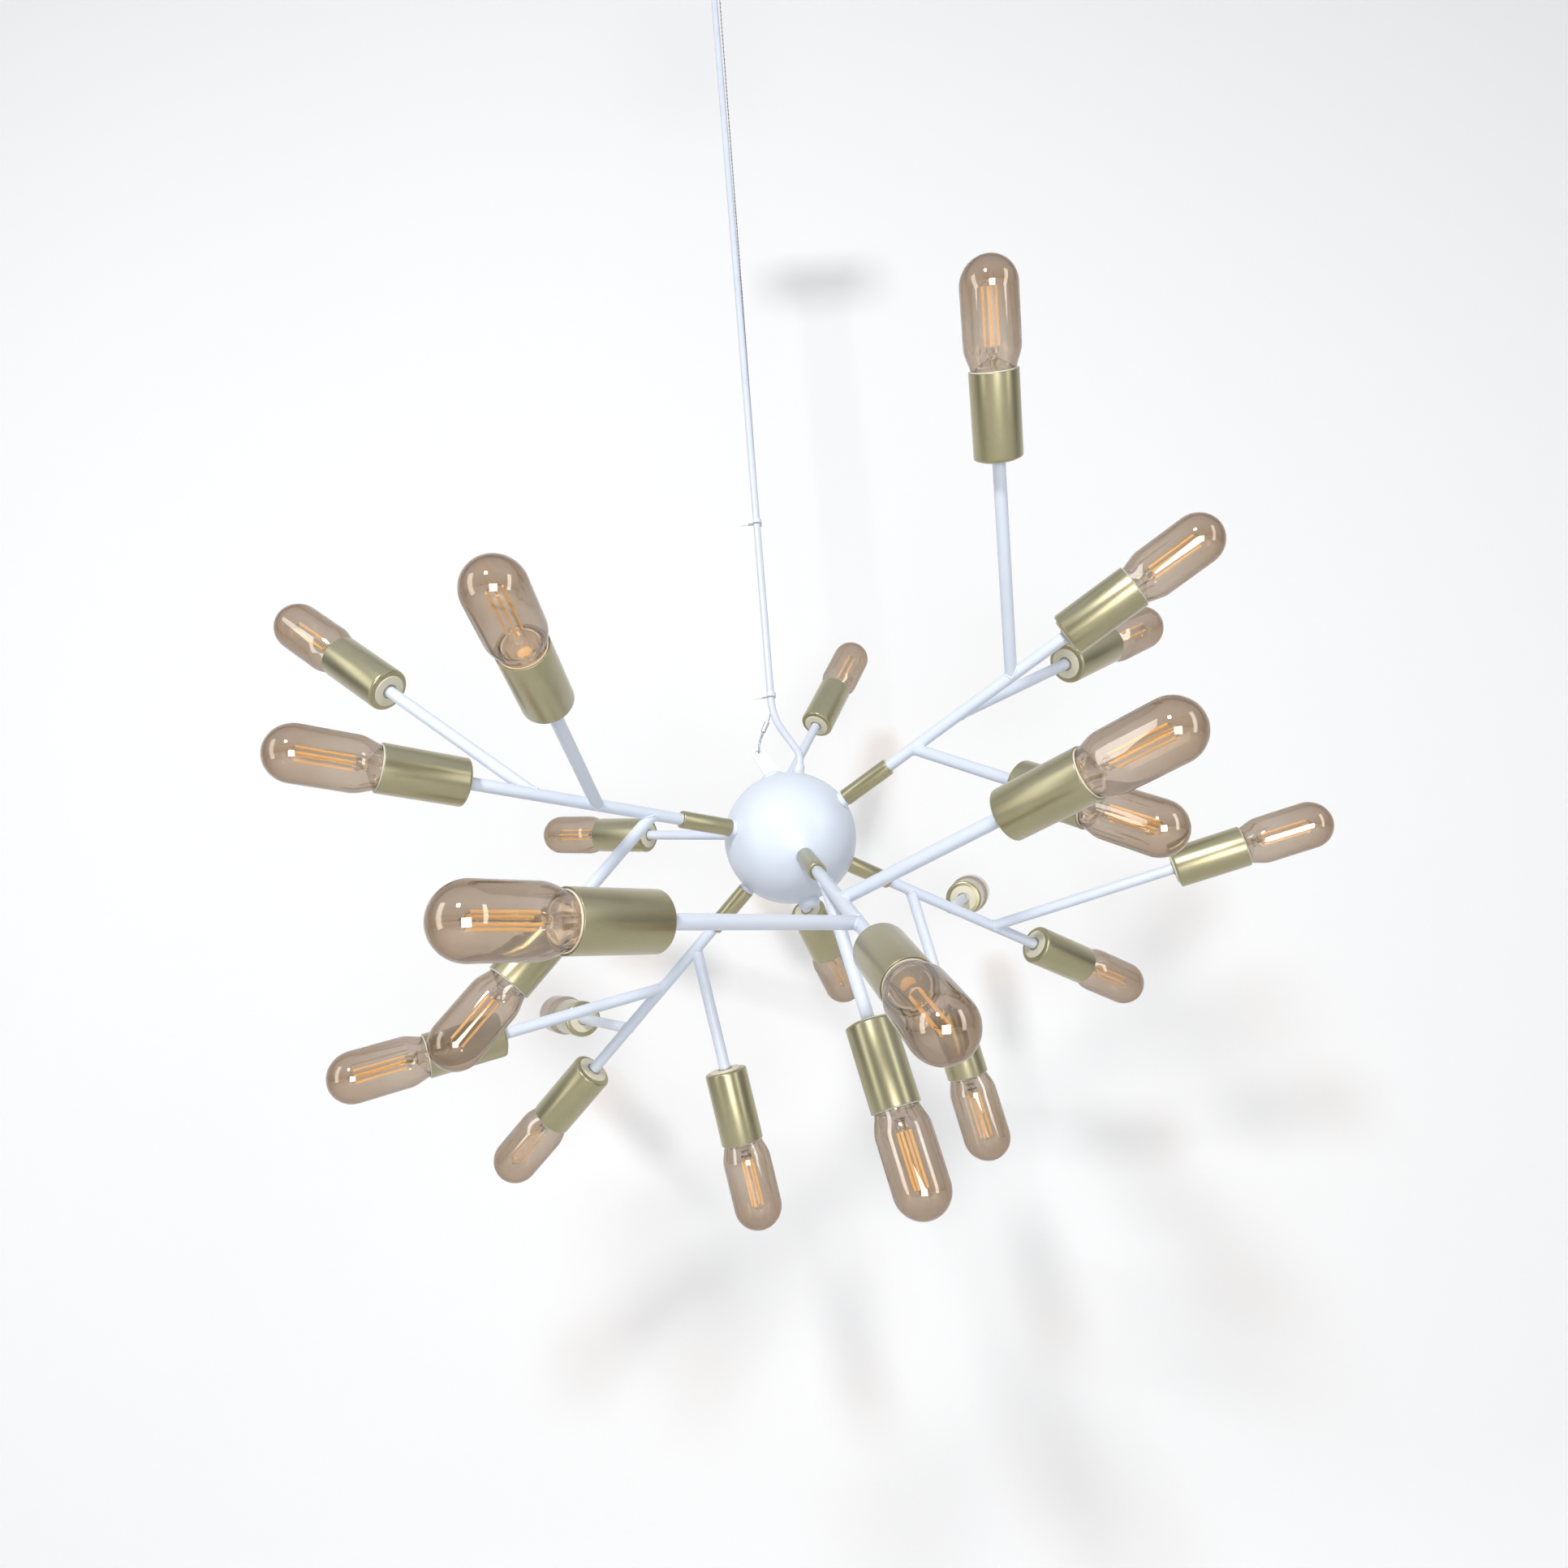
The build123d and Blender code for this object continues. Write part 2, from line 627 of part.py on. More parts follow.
with BuildPart() as canopy:
    with BuildSketch(Plane.XZ):
        with BuildLine():
            corner = CenterArc(
                (CANOPY_RADIUS - CANOPY_EDGE_RADIUS, -CANOPY_DEPTH + CANOPY_EDGE_RADIUS),
                CANOPY_EDGE_RADIUS,
                -90,
                90,
            )
            inside = CenterArc(
                (CANOPY_RADIUS - CANOPY_EDGE_RADIUS, -CANOPY_DEPTH + CANOPY_EDGE_RADIUS),
                CANOPY_EDGE_RADIUS - CANOPY_WALL,
                -90,
                90,
            )
            outlet_hole = OUTLET_NECK_RADIUS + SEAT_CLEARANCE
            Polyline(corner @ 0, (outlet_hole, -CANOPY_DEPTH), (outlet_hole, canopy_floor), inside @ 0)
            Polyline(corner @ 1, (CANOPY_RADIUS, 0), (CANOPY_RADIUS - CANOPY_WALL, 0), inside @ 1)
        make_face()
    revolve(axis=Axis.Z)
    with BuildSketch(Plane.YZ):
        with Locations((0, screw_level)):
            Circle(CANOPY_SCREW_RADIUS + SEAT_CLEARANCE)
    extrude(amount=CANOPY_RADIUS, both=True, mode=Mode.SUBTRACT)
save(canopy.part, "ceiling_canopy")

with BuildPart() as outlet:
    with BuildSketch(Plane.XZ):
        with BuildLine():
            Polyline(
                (0, -CANOPY_DEPTH - OUTLET_HEIGHT),
                (OUTLET_NECK_RADIUS, -CANOPY_DEPTH - OUTLET_HEIGHT),
                (OUTLET_RADIUS, -CANOPY_DEPTH),
                (OUTLET_NECK_RADIUS, -CANOPY_DEPTH),
                (OUTLET_NECK_RADIUS, nut_top),
                (0, nut_top),
                close=True,
            )
        make_face()
    revolve(axis=Axis.Z)
    with BuildSketch(Plane.XY):
        Circle(FLEX_RADIUS + OUTLET_CLEARANCE)
        with Locations(WIRE_TOP):
            Circle(WIRE_RADIUS + OUTLET_CLEARANCE)
    extrude(amount=-CANOPY_DEPTH - OUTLET_HEIGHT, mode=Mode.SUBTRACT)
with BuildPart() as outlet_nut:
    with BuildSketch(Plane.XY.offset(canopy_floor)):
        RegularPolygon(OUTLET_NUT_RADIUS, 6)
        Circle(OUTLET_NECK_RADIUS + SEAT_CLEARANCE, mode=Mode.SUBTRACT)
    extrude(amount=OUTLET_NUT_HEIGHT)
save(Compound(children=[outlet.part.solid(), outlet_nut.part.solid()]), "canopy_outlet")

with BuildPart() as bracket:
    with BuildSketch(Plane.XY):
        Rectangle(2 * bracket_half, BRACKET_WIDTH)
        with Locations((-CEILING_SCREW_SPACING / 2, 0), (CEILING_SCREW_SPACING / 2, 0)):
            Circle(CEILING_SCREW_RADIUS, mode=Mode.SUBTRACT)
    extrude(amount=-BRACKET_THICKNESS)
    with BuildSketch(Plane.XY):
        with Locations(
            (-bracket_half + BRACKET_THICKNESS / 2, 0), (bracket_half - BRACKET_THICKNESS / 2, 0)
        ):
            Rectangle(BRACKET_THICKNESS, BRACKET_WIDTH)
    extrude(amount=-BRACKET_EAR)
    with BuildSketch(Plane.YZ):
        with Locations((0, screw_level)):
            Circle(CANOPY_SCREW_RADIUS + SEAT_CLEARANCE)
    extrude(amount=CANOPY_RADIUS, both=True, mode=Mode.SUBTRACT)
save(bracket.part, "ceiling_bracket")

with BuildPart() as canopy_screws:
    for side in (-1, 1):
        with BuildSketch(Plane(origin=(side * CANOPY_RADIUS, 0, screw_level), z_dir=(side, 0, 0))):
            Circle(CANOPY_SCREW_HEAD_RADIUS)
        extrude(amount=CANOPY_SCREW_HEAD_HEIGHT)
        with BuildSketch(Plane(origin=(side * CANOPY_RADIUS, 0, screw_level), z_dir=(-side, 0, 0))):
            Circle(CANOPY_SCREW_RADIUS)
        extrude(amount=CANOPY_SCREW_LENGTH)
save(canopy_screws.part, "canopy_screws")

with BuildPart() as terminal:
    with BuildSketch(Plane.XY.offset(terminal_bottom)):
        RectangleRounded(TERMINAL_SIZE[0], TERMINAL_SIZE[1], TERMINAL_CORNER)
    extrude(amount=TERMINAL_SIZE[2])
save(terminal.part, "terminal_block")
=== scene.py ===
"""Sputnik chandelier: the dressed model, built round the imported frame.

Everything is in metres, in the frame's own axes: the origin is on the ceiling and +Z is up.
"""

import json
import logging
import math
from collections.abc import Sequence
from dataclasses import dataclass, field
from enum import Enum

import bmesh
import bpy
from mathutils import Matrix, Vector


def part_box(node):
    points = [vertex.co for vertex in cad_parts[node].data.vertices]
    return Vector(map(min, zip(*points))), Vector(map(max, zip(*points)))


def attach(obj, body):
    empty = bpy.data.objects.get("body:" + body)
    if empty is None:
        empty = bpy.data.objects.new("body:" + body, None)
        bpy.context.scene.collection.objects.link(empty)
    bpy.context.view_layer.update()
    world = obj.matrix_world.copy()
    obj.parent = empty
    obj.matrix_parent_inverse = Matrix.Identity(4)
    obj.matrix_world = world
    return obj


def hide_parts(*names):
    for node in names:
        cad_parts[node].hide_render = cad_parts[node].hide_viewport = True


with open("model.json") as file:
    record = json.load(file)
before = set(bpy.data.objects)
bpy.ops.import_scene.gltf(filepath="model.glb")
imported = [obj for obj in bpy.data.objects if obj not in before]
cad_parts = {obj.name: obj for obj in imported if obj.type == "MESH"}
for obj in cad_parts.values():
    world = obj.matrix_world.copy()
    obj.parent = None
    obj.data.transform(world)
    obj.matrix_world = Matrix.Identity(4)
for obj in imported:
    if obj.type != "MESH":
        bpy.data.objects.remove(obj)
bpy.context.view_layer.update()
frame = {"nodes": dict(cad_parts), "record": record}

MM = 0.001
LOG = logging.getLogger("chandelier")

Colour = tuple[float, float, float]
Corner = tuple[float, float, float]


def srgb(red: int, green: int, blue: int) -> Colour:
    """Turn a display colour of 0 to 255 into the linear one that shaders use."""
    shares = (red / 255, green / 255, blue / 255)
    return tuple(((share + 0.055) / 1.055) ** 2.4 if share > 0.04 else share / 12.92 for share in shares)


# ---------------------------------------------------------------- shader building
class Signal:
    """One shader output that takes part in Python arithmetic."""

    def __init__(self, paint: "Paint", socket: bpy.types.NodeSocket) -> None:
        """Wrap a socket of a material's tree."""
        self.paint = paint
        self.socket = socket

    def _math(self, operation: str, first: "Signal | float", second: "Signal | float") -> "Signal":
        """Add a Math node for one operation."""
        node = self.paint.node("ShaderNodeMath", {"operation": operation}, {0: first, 1: second})
        return Signal(self.paint, node.outputs[0])

    def __add__(self, other: "Signal | float") -> "Signal":
        """Sum of two signals."""
        return self._math("ADD", self, other)

    def __sub__(self, other: "Signal | float") -> "Signal":
        """Difference of two signals."""
        return self._math("SUBTRACT", self, other)

    def __rsub__(self, other: float) -> "Signal":
        """Difference from a plain number."""
        return self._math("SUBTRACT", other, self)

    def __mul__(self, other: "Signal | float") -> "Signal":
        """Product of two signals."""
        return self._math("MULTIPLY", self, other)

    def __pow__(self, other: "Signal | float") -> "Signal":
        """Power of a signal."""
        return self._math("POWER", self, other)

    __radd__ = __add__
    __rmul__ = __mul__


def about(value: "Signal | float", noise: Signal, spread: float) -> Signal:
    """A value that wanders with a noise, by half a spread either way."""
    return value + (noise - 0.5) * spread


class Wiring:
    """A node tree that is filled one node at a time."""

    tree: bpy.types.NodeTree

    def node(self, kind: str, settings: dict | None = None, sockets: dict | None = None) -> bpy.types.Node:
        """Add one node.

        Args:
            kind: The node's type name.
            settings: Attributes that are set before its sockets.
            sockets: Values, signals or sockets to link, by socket name or number.

        Returns:
            The new node.
        """
        node = self.tree.nodes.new(kind)
        for key, value in (settings or {}).items():
            setattr(node, key, value)
        for key, value in (sockets or {}).items():
            source, target = getattr(value, "socket", value), node.inputs[key]
            if isinstance(source, bpy.types.NodeSocket):
                self.tree.links.new(source, target)
            elif target.type == "RGBA":
                target.default_value = (*source, 1.0)
            else:
                target.default_value = source
        return node


class Paint(Wiring):
    """A material's node tree."""

    def __init__(self, name: str) -> None:
        """Start an empty material.

        Args:
            name: The material's name.
        """
        self.material = bpy.data.materials.new(name)
        self.material.use_nodes = True
        self.tree = self.material.node_tree
        self.tree.nodes.clear()
        self.output = self.tree.nodes.new("ShaderNodeOutputMaterial")

    def signal(self, node: bpy.types.Node, output: str | int = 0) -> Signal:
        """One output of a node, ready for arithmetic."""
        return Signal(self, node.outputs[output])

    def coordinates(self, kind: str = "Object") -> Signal:
        """The surface's own coordinates, or its UV map."""
        return self.signal(self.node("ShaderNodeTexCoord"), kind)

    def part(self, axis: str, kind: str = "UV") -> Signal:
        """One part of the coordinates, such as the height or the share of a section's length."""
        return self.signal(self.node("ShaderNodeSeparateXYZ", None, {0: self.coordinates(kind)}), axis)

    def stretched(self, vector: Signal, scale: Colour) -> Signal:
        """Coordinates drawn out by a different factor along each axis."""
        return self.signal(self.node("ShaderNodeMapping", None, {"Vector": vector, "Scale": scale}), "Vector")

    def noise(self, vector: Signal, scale: float, detail: float = 2.0) -> Signal:
        """Soft noise from 0 to 1 over the given coordinates."""
        node = self.node("ShaderNodeTexNoise", None, {"Vector": vector, "Scale": scale, "Detail": detail})
        return self.signal(node, "Factor" if "Factor" in node.outputs else "Fac")

    def ramp(self, value: Signal, stops: Sequence[tuple[float, Colour]]) -> Signal:
        """Colours along a value, given as positions and colours."""
        node = self.node("ShaderNodeValToRGB", None, {"Fac": value})
        elements = node.color_ramp.elements
        while len(elements) < len(stops):
            elements.new(1.0)
        for element, (position, colour) in zip(elements, stops):
            element.position = position
            element.color = (*colour, 1.0)
        return self.signal(node, "Color")

    def blend(self, factor: Signal, low: Colour | Signal, high: Colour | Signal) -> Signal:
        """Mix of two colours."""
        node = self.node("ShaderNodeMix", {"data_type": "RGBA"}, {"Factor": factor, 6: low, 7: high})
        return self.signal(node, 2)

    def bump(self, height: Signal, strength: float, distance: float) -> Signal:
        """Normal from a height signal."""
        sockets = {"Height": height, "Strength": strength, "Distance": distance}
        return self.signal(self.node("ShaderNodeBump", None, sockets), "Normal")

    def surface(self, sockets: dict) -> bpy.types.Node:
        """The main shader, with its values and signals by socket name."""
        return self.node("ShaderNodeBsdfPrincipled", None, sockets)

    def mixed(self, factor: Signal, first: bpy.types.Node, second: bpy.types.Node) -> bpy.types.Node:
        """One shader turning into another as a factor goes from 0 to 1."""
        sockets = {0: factor, 1: self.signal(first), 2: self.signal(second)}
        return self.node("ShaderNodeMixShader", None, sockets)

    def lit_inside(self, glass: bpy.types.Node, shade: Colour) -> bpy.types.Node:
        """Glass to the eye, and only a tint to the light that falls through it."""
        shadow = self.signal(self.node("ShaderNodeLightPath"), "Is Shadow Ray")
        return self.mixed(shadow, glass, self.node("ShaderNodeBsdfTransparent", None, {"Color": shade}))

    def finish(self, shader: bpy.types.Node) -> bpy.types.Material | bpy.types.World:
        """Join the shader to the output.

        Args:
            shader: The node whose first output is shown.

        Returns:
            The finished material or world.
        """
        self.tree.links.new(shader.outputs[0], self.output.inputs["Surface"])
        return self.material


class Sky(Paint):
    """A world's node tree."""

    def __init__(self, name: str) -> None:
        """Start an empty world.

        Args:
            name: The world's name.
        """
        self.material = bpy.data.worlds.new(name)
        self.material.use_nodes = True
        self.tree = self.material.node_tree
        self.tree.nodes.clear()
        self.output = self.tree.nodes.new("ShaderNodeOutputWorld")


# ---------------------------------------------------------------- finishes
@dataclass(frozen=True)
class Finish:
    """A named finish. Each kind wires up its own shader."""

    name: str

    def shader(self, paint: Paint) -> bpy.types.Node:
        """The node that the surface shows."""
        raise NotImplementedError

    def build(self) -> bpy.types.Material:
        """Make the material."""
        paint = Paint(self.name)
        return paint.finish(self.shader(paint))


@dataclass(frozen=True)
class PowderCoat(Finish):
    """White powder coat with a fine orange peel."""

    name: str = "white_powder_coat"
    light: Colour = srgb(232, 239, 250)
    deep: Colour = srgb(220, 229, 244)
    roughness: float = 0.36
    peel: float = 900.0

    def shader(self, paint: Paint) -> bpy.types.Node:
        """Wire the shader up."""
        place = paint.coordinates()
        cloud = paint.noise(place, 28.0, 3.0)
        grain = paint.noise(place, self.peel, 2.0)
        return paint.surface({
            "Base Color": paint.blend(cloud, self.deep, self.light),
            "Roughness": about(self.roughness, cloud, 0.14),
            "Specular IOR Level": 0.45,
            "Coat Weight": 0.25,
            "Coat Roughness": 0.22,
            "Normal": paint.bump(grain, 0.12, 0.0002),
        })


@dataclass(frozen=True)
class SatinBrass(Finish):
    """Pale olive brass, satin along the tube, with a thin lacquer."""

    name: str = "satin_brass"
    light: Colour = srgb(172, 165, 132)
    deep: Colour = srgb(146, 138, 105)
    roughness: float = 0.31

    def shader(self, paint: Paint) -> bpy.types.Node:
        """Wire the shader up."""
        along = paint.stretched(paint.coordinates("UV"), (60.0, 6.0, 1.0))
        streaks = paint.noise(along, 5.0, 3.0)
        patches = paint.noise(paint.coordinates(), 60.0, 2.0)
        return paint.surface({
            "Base Color": paint.blend(streaks * 0.5 + patches * 0.5, self.deep, self.light),
            "Metallic": 1.0,
            "Roughness": about(about(self.roughness, streaks, 0.06), patches, 0.05),
            "Coat Weight": 0.5,
            "Coat Roughness": 0.3,
            "Normal": paint.bump(streaks, 0.01, 0.0001),
        })


@dataclass(frozen=True)
class AmberGlass(Finish):
    """Smoked amber glass, tinted in its thickness, with painted shade that darkens its outline."""

    name: str = "amber_glass"
    body: Colour = srgb(228, 220, 210)
    neck: Colour = srgb(243, 243, 242)
    tip: Colour = srgb(222, 216, 214)
    # Dark brown painted on the outline as shade.
    outline_shade: Colour = srgb(122, 106, 90)
    shade: Colour = srgb(240, 234, 226)
    depth: Colour = (0.62, 0.41, 0.16)
    density: float = 430.0
    outline_shade_falloff: float = 3.0
    refraction: float = 1.2

    def shader(self, paint: Paint) -> bpy.types.Node:
        """Wire the shader up."""
        length = paint.part("Y")
        waves = paint.noise(paint.coordinates(), 45.0, 1.0)
        stops = ((0.0, self.neck), (0.22, self.neck), (0.4, self.body), (0.8, self.body), (1.0, self.tip))
        # Painted shade: the colour turns dark brown where the surface faces away, towards the outline.
        facing = paint.node("ShaderNodeLayerWeight", None, {"Blend": 0.5})
        edge = paint.signal(facing, "Facing") ** self.outline_shade_falloff
        glass = paint.surface({
            "Base Color": paint.blend(edge, paint.ramp(length, stops), self.outline_shade),
            "Metallic": 0.06 + waves * 0.14,
            "Roughness": 0.0,
            "IOR": self.refraction,
            "Transmission Weight": 1.0,
            "Normal": paint.bump(waves, 0.04, 0.0005),
        })
        wall = paint.node("ShaderNodeVolumeAbsorption", None, {"Color": self.depth, "Density": self.density})
        paint.tree.links.new(wall.outputs[0], paint.output.inputs["Volume"])
        return paint.lit_inside(glass, self.shade)


@dataclass(frozen=True)
class StemGlass(Finish):
    """Clear pressed glass of the stem inside a lamp."""

    name: str = "stem_glass"
    colour: Colour = srgb(246, 246, 240)
    refraction: float = 1.5

    def shader(self, paint: Paint) -> bpy.types.Node:
        """Wire the shader up."""
        seeds = paint.noise(paint.coordinates(), 260.0, 3.0)
        glass = paint.surface({
            "Base Color": self.colour,
            "Roughness": 0.03 + seeds * 0.06,
            "IOR": self.refraction,
            "Transmission Weight": 1.0,
            "Normal": paint.bump(seeds, 0.2, 0.0004),
        })
        return paint.lit_inside(glass, self.colour)


@dataclass(frozen=True)
class FlareGlass(Finish):
    """Silvery glass round the stem's foot: a near-white ring that is a painted highlight, with a duller dish
    inside it.
    """

    name: str = "flare_glass"
    # Near-white ring colour: a painted highlight on the stem's foot.
    ring: Colour = srgb(246, 247, 248)
    dish: Colour = srgb(168, 160, 148)

    def shader(self, paint: Paint) -> bpy.types.Node:
        """Wire the shader up."""
        length = paint.part("Y")
        glints = paint.noise(paint.coordinates(), 380.0, 2.0)
        stops = ((0.0, self.dish), (0.26, self.dish), (0.34, self.ring), (1.0, self.ring))
        return paint.surface({
            "Base Color": paint.ramp(about(length, glints, 0.1), stops),
            "Metallic": 0.35,
            "Roughness": 0.12 + glints * 0.2,
            "Normal": paint.bump(glints, 0.3, 0.0003),
        })


@dataclass(frozen=True)
class GlowingPhosphor(Finish):
    """Orange phosphor skin of a filament, with a painted glow although the lamp is off."""

    name: str = "glowing_filament_phosphor"
    light: Colour = srgb(246, 212, 142)
    deep: Colour = srgb(234, 186, 108)

    def shader(self, paint: Paint) -> bpy.types.Node:
        """Wire the shader up."""
        beads = paint.noise(paint.coordinates(), 900.0, 2.0)
        colour = paint.blend(beads, self.deep, self.light)
        return paint.surface({
            "Base Color": colour,
            "Roughness": 0.5 + beads * 0.2,
            # Painted glow: the unlit filament gives off a faint light of its own colour.
            "Emission Color": colour,
            "Emission Strength": 0.12,
            "Normal": paint.bump(beads, 0.3, 0.0002),
        })


@dataclass(frozen=True)
class Metal(Finish):
    """Bare or plated metal with fine wear."""

    light: Colour
    deep: Colour
    roughness: float = 0.3
    scale: float = 240.0

    def shader(self, paint: Paint) -> bpy.types.Node:
        """Wire the shader up."""
        grain = paint.noise(paint.coordinates(), self.scale, 4.0)
        return paint.surface({
            "Base Color": paint.blend(grain, self.deep, self.light),
            "Metallic": 1.0,
            "Roughness": about(self.roughness, grain, 0.3),
            "Normal": paint.bump(grain, 0.1, 0.0002),
        })


@dataclass(frozen=True)
class Plastic(Finish):
    """Moulded plastic with a fine matt grain."""

    light: Colour
    deep: Colour
    roughness: float = 0.42
    scale: float = 700.0

    def shader(self, paint: Paint) -> bpy.types.Node:
        """Wire the shader up."""
        grain = paint.noise(paint.coordinates(), self.scale, 2.0)
        cloud = paint.noise(paint.coordinates(), 40.0, 2.0)
        return paint.surface({
            "Base Color": paint.blend(cloud, self.deep, self.light),
            "Roughness": about(self.roughness, grain, 0.2),
            "Normal": paint.bump(grain, 0.15, 0.0001),
        })


class Finishes:
    """Every finish of the chandelier, made once."""

    def __init__(self) -> None:
        """Build the materials."""
        self.paint = PowderCoat().build()
        self.brass = SatinBrass().build()
        self.glass = AmberGlass().build()
        self.stem = StemGlass().build()
        self.flare = FlareGlass().build()
        self.phosphor = GlowingPhosphor().build()
        self.cap = Metal("lamp_cap", srgb(214, 206, 186), srgb(170, 160, 136), 0.25).build()
        self.steel = Metal("wire_steel", srgb(206, 208, 212), srgb(140, 142, 148), 0.3, 1500.0).build()
        self.zinc = Metal("zinc_plate", srgb(206, 208, 210), srgb(168, 172, 178), 0.36).build()
        self.crimp = Metal("aluminium_crimp", srgb(214, 216, 218), srgb(176, 178, 182), 0.4).build()
        self.collar = Metal("collar_steel", srgb(176, 172, 160), srgb(126, 122, 112), 0.35).build()
        # Pale cream painted on the cups' brass back faces as a highlight.
        self.back_face_highlight = Plastic("cup_back_highlight", srgb(238, 233, 210), srgb(222, 215, 188), 0.4).build()
        self.holder = Plastic("holder_plastic", srgb(232, 228, 216), srgb(214, 208, 192)).build()
        self.sheath = Plastic("flex_sheath", srgb(220, 225, 235), srgb(202, 209, 222), 0.32).build()
        self.nylon = Plastic("white_nylon", srgb(234, 236, 240), srgb(214, 218, 226), 0.38).build()


# ---------------------------------------------------------------- mesh helpers
def soften(outline: Sequence[Corner], steps: int) -> list[Vector]:
    """Round the corners of a half-section.

    Args:
        outline: Corners as radius, height and rounding, in millimetres.
        steps: Pieces in each rounding.

    Returns:
        Points of the rounded section, x for the radius and y for the height.
    """
    points: list[Vector] = []
    for index, (radius, height, rounding) in enumerate(outline):
        corner = Vector((radius, height))
        if rounding <= 0 or index in (0, len(outline) - 1):
            points.append(corner)
            continue
        back = Vector(outline[index - 1][:2]) - corner
        ahead = Vector(outline[index + 1][:2]) - corner
        half = back.angle(ahead) / 2
        reach = min(rounding / math.tan(half), back.length * 0.48, ahead.length * 0.48)
        start, end = corner + back.normalized() * reach, corner + ahead.normalized() * reach
        middle = corner + (back.normalized() + ahead.normalized()).normalized() * (reach / math.cos(half))
        spread = (start - middle).angle_signed(end - middle)
        arm = start - middle
        for step in range(steps + 1):
            angle = -spread * step / steps
            cosine, sine = math.cos(angle), math.sin(angle)
            points.append(middle + Vector((arm.x * cosine - arm.y * sine, arm.x * sine + arm.y * cosine)))
    return points


def spun(outline: Sequence[Corner], steps: int, segments: int, closed: bool = False) -> bmesh.types.BMesh:
    """Round the corners of a half-section and turn it about +Z."""
    return lathe(soften(outline, steps), segments, closed)


def lathe(section: Sequence[Vector], segments: int, closed: bool = False) -> bmesh.types.BMesh:
    """Turn a half-section about +Z.

    Args:
        section: Points with x as radius and y as height, in millimetres.
        segments: Steps round the axis.
        closed: Whether the last point joins the first.

    Returns:
        The turned shape, with a UV map of turn and share of its length.
    """
    shape = bmesh.new()
    layer = shape.loops.layers.uv.new("UVMap")
    lengths = [0.0]
    for low, high in zip(section, section[1:]):
        lengths.append(lengths[-1] + (high - low).length)
    total = max(lengths[-1], 1e-9)
    rings = []
    for point in section:
        if point.x < 1e-6:
            rings.append([shape.verts.new((0, 0, point.y * MM))])
            continue
        turns = [2 * math.pi * k / segments for k in range(segments)]
        radius, height = point.x * MM, point.y * MM
        rings.append([shape.verts.new((radius * math.cos(a), radius * math.sin(a), height)) for a in turns])
    pairs = [(k, k + 1) for k in range(len(section) - 1)]
    if closed:
        pairs.append((len(section) - 1, 0))
    for low, high in pairs:
        for k in range(segments):
            loop = [
                (rings[low][k % len(rings[low])], k, low),
                (rings[low][(k + 1) % len(rings[low])], k + 1, low),
                (rings[high][(k + 1) % len(rings[high])], k + 1, high),
                (rings[high][k % len(rings[high])], k, high),
            ]
            unique = [item for i, item in enumerate(loop) if item[0] not in [other[0] for other in loop[:i]]]
            if len(unique) < 3:
                continue
            face = shape.faces.new([item[0] for item in unique])
            face.smooth = True
            for corner, (_, turn, ring) in zip(face.loops, unique):
                corner[layer].uv = (turn / segments, lengths[ring] / total)
    bmesh.ops.recalc_face_normals(shape, faces=shape.faces)
    return shape


def sweep(
    points: Sequence[Vector], outline: Sequence[Vector], closed: bool = False, lay: float = 0.0
) -> bmesh.types.BMesh:
    """Carry an outline along a line.

    Args:
        points: The line, in metres.
        outline: Points round the tube, across the line, in metres.
        closed: Whether the line joins up.
        lay: Length in metres in which the outline turns once, or 0 for no turn.

    Returns:
        The tube, with a UV map of turn and length in metres.
    """
    shape = bmesh.new()
    layer = shape.loops.layers.uv.new("UVMap")
    count = len(points)
    side = Vector((1, 0, 0))
    rings, lengths = [], [0.0]
    for index, point in enumerate(points):
        before = points[index - 1] if index or closed else point
        after = points[(index + 1) % count] if index < count - 1 or closed else point
        heading = (after - before).normalized()
        side = (side - heading * side.dot(heading)).normalized()
        if index:
            lengths.append(lengths[-1] + (point - points[index - 1]).length)
        turned = Matrix.Rotation(2 * math.pi * lengths[-1] / lay, 3, heading) @ side if lay else side
        across = heading.cross(turned)
        rings.append([shape.verts.new(point + turned * p.x + across * p.y) for p in outline])
    pairs = [(k, k + 1) for k in range(count - 1)] + ([(count - 1, 0)] if closed else [])
    around = len(outline)
    for low, high in pairs:
        for k in range(around):
            turn = (k + 1) % around
            face = shape.faces.new((rings[low][k], rings[low][turn], rings[high][turn], rings[high][k]))
            face.smooth = True
            places = ((k, low), (k + 1, low), (k + 1, high), (k, high))
            for corner, (step, ring) in zip(face.loops, places):
                corner[layer].uv = (step / around, lengths[ring])
    if not closed:
        shape.faces.new(rings[0])
        shape.faces.new(rings[-1])
    bmesh.ops.recalc_face_normals(shape, faces=shape.faces)
    return shape


def wavy_outline(radius: float, waves: int, depth: float, steps: int) -> list[Vector]:
    """Points round a circle that dips a number of times.

    Args:
        radius: Its largest radius, in metres.
        waves: How many times it dips.
        depth: Half of a dip's depth, as a share of the radius.
        steps: Points round it.

    Returns:
        The points.
    """
    points = []
    for step in range(steps):
        angle = 2 * math.pi * step / steps
        reach = radius * (1.0 - depth + depth * math.cos(waves * angle))
        points.append(Vector((reach * math.cos(angle), reach * math.sin(angle))))
    return points


def ring_outline(radius: float, steps: int = 16) -> list[Vector]:
    """Points round a circle of a radius in metres."""
    return wavy_outline(radius, 0, 0.0, steps)


def gather(parts: Sequence[tuple[bmesh.types.BMesh, Matrix]]) -> bmesh.types.BMesh:
    """Join copies of shapes, each at its own place.

    Args:
        parts: Shapes with the place of each copy.

    Returns:
        One shape that holds them all.
    """
    whole = bmesh.new()
    for shape, place in parts:
        spare = bpy.data.meshes.new("spare")
        shape.to_mesh(spare)
        spare.transform(place)
        whole.from_mesh(spare)
        bpy.data.meshes.remove(spare)
    return whole


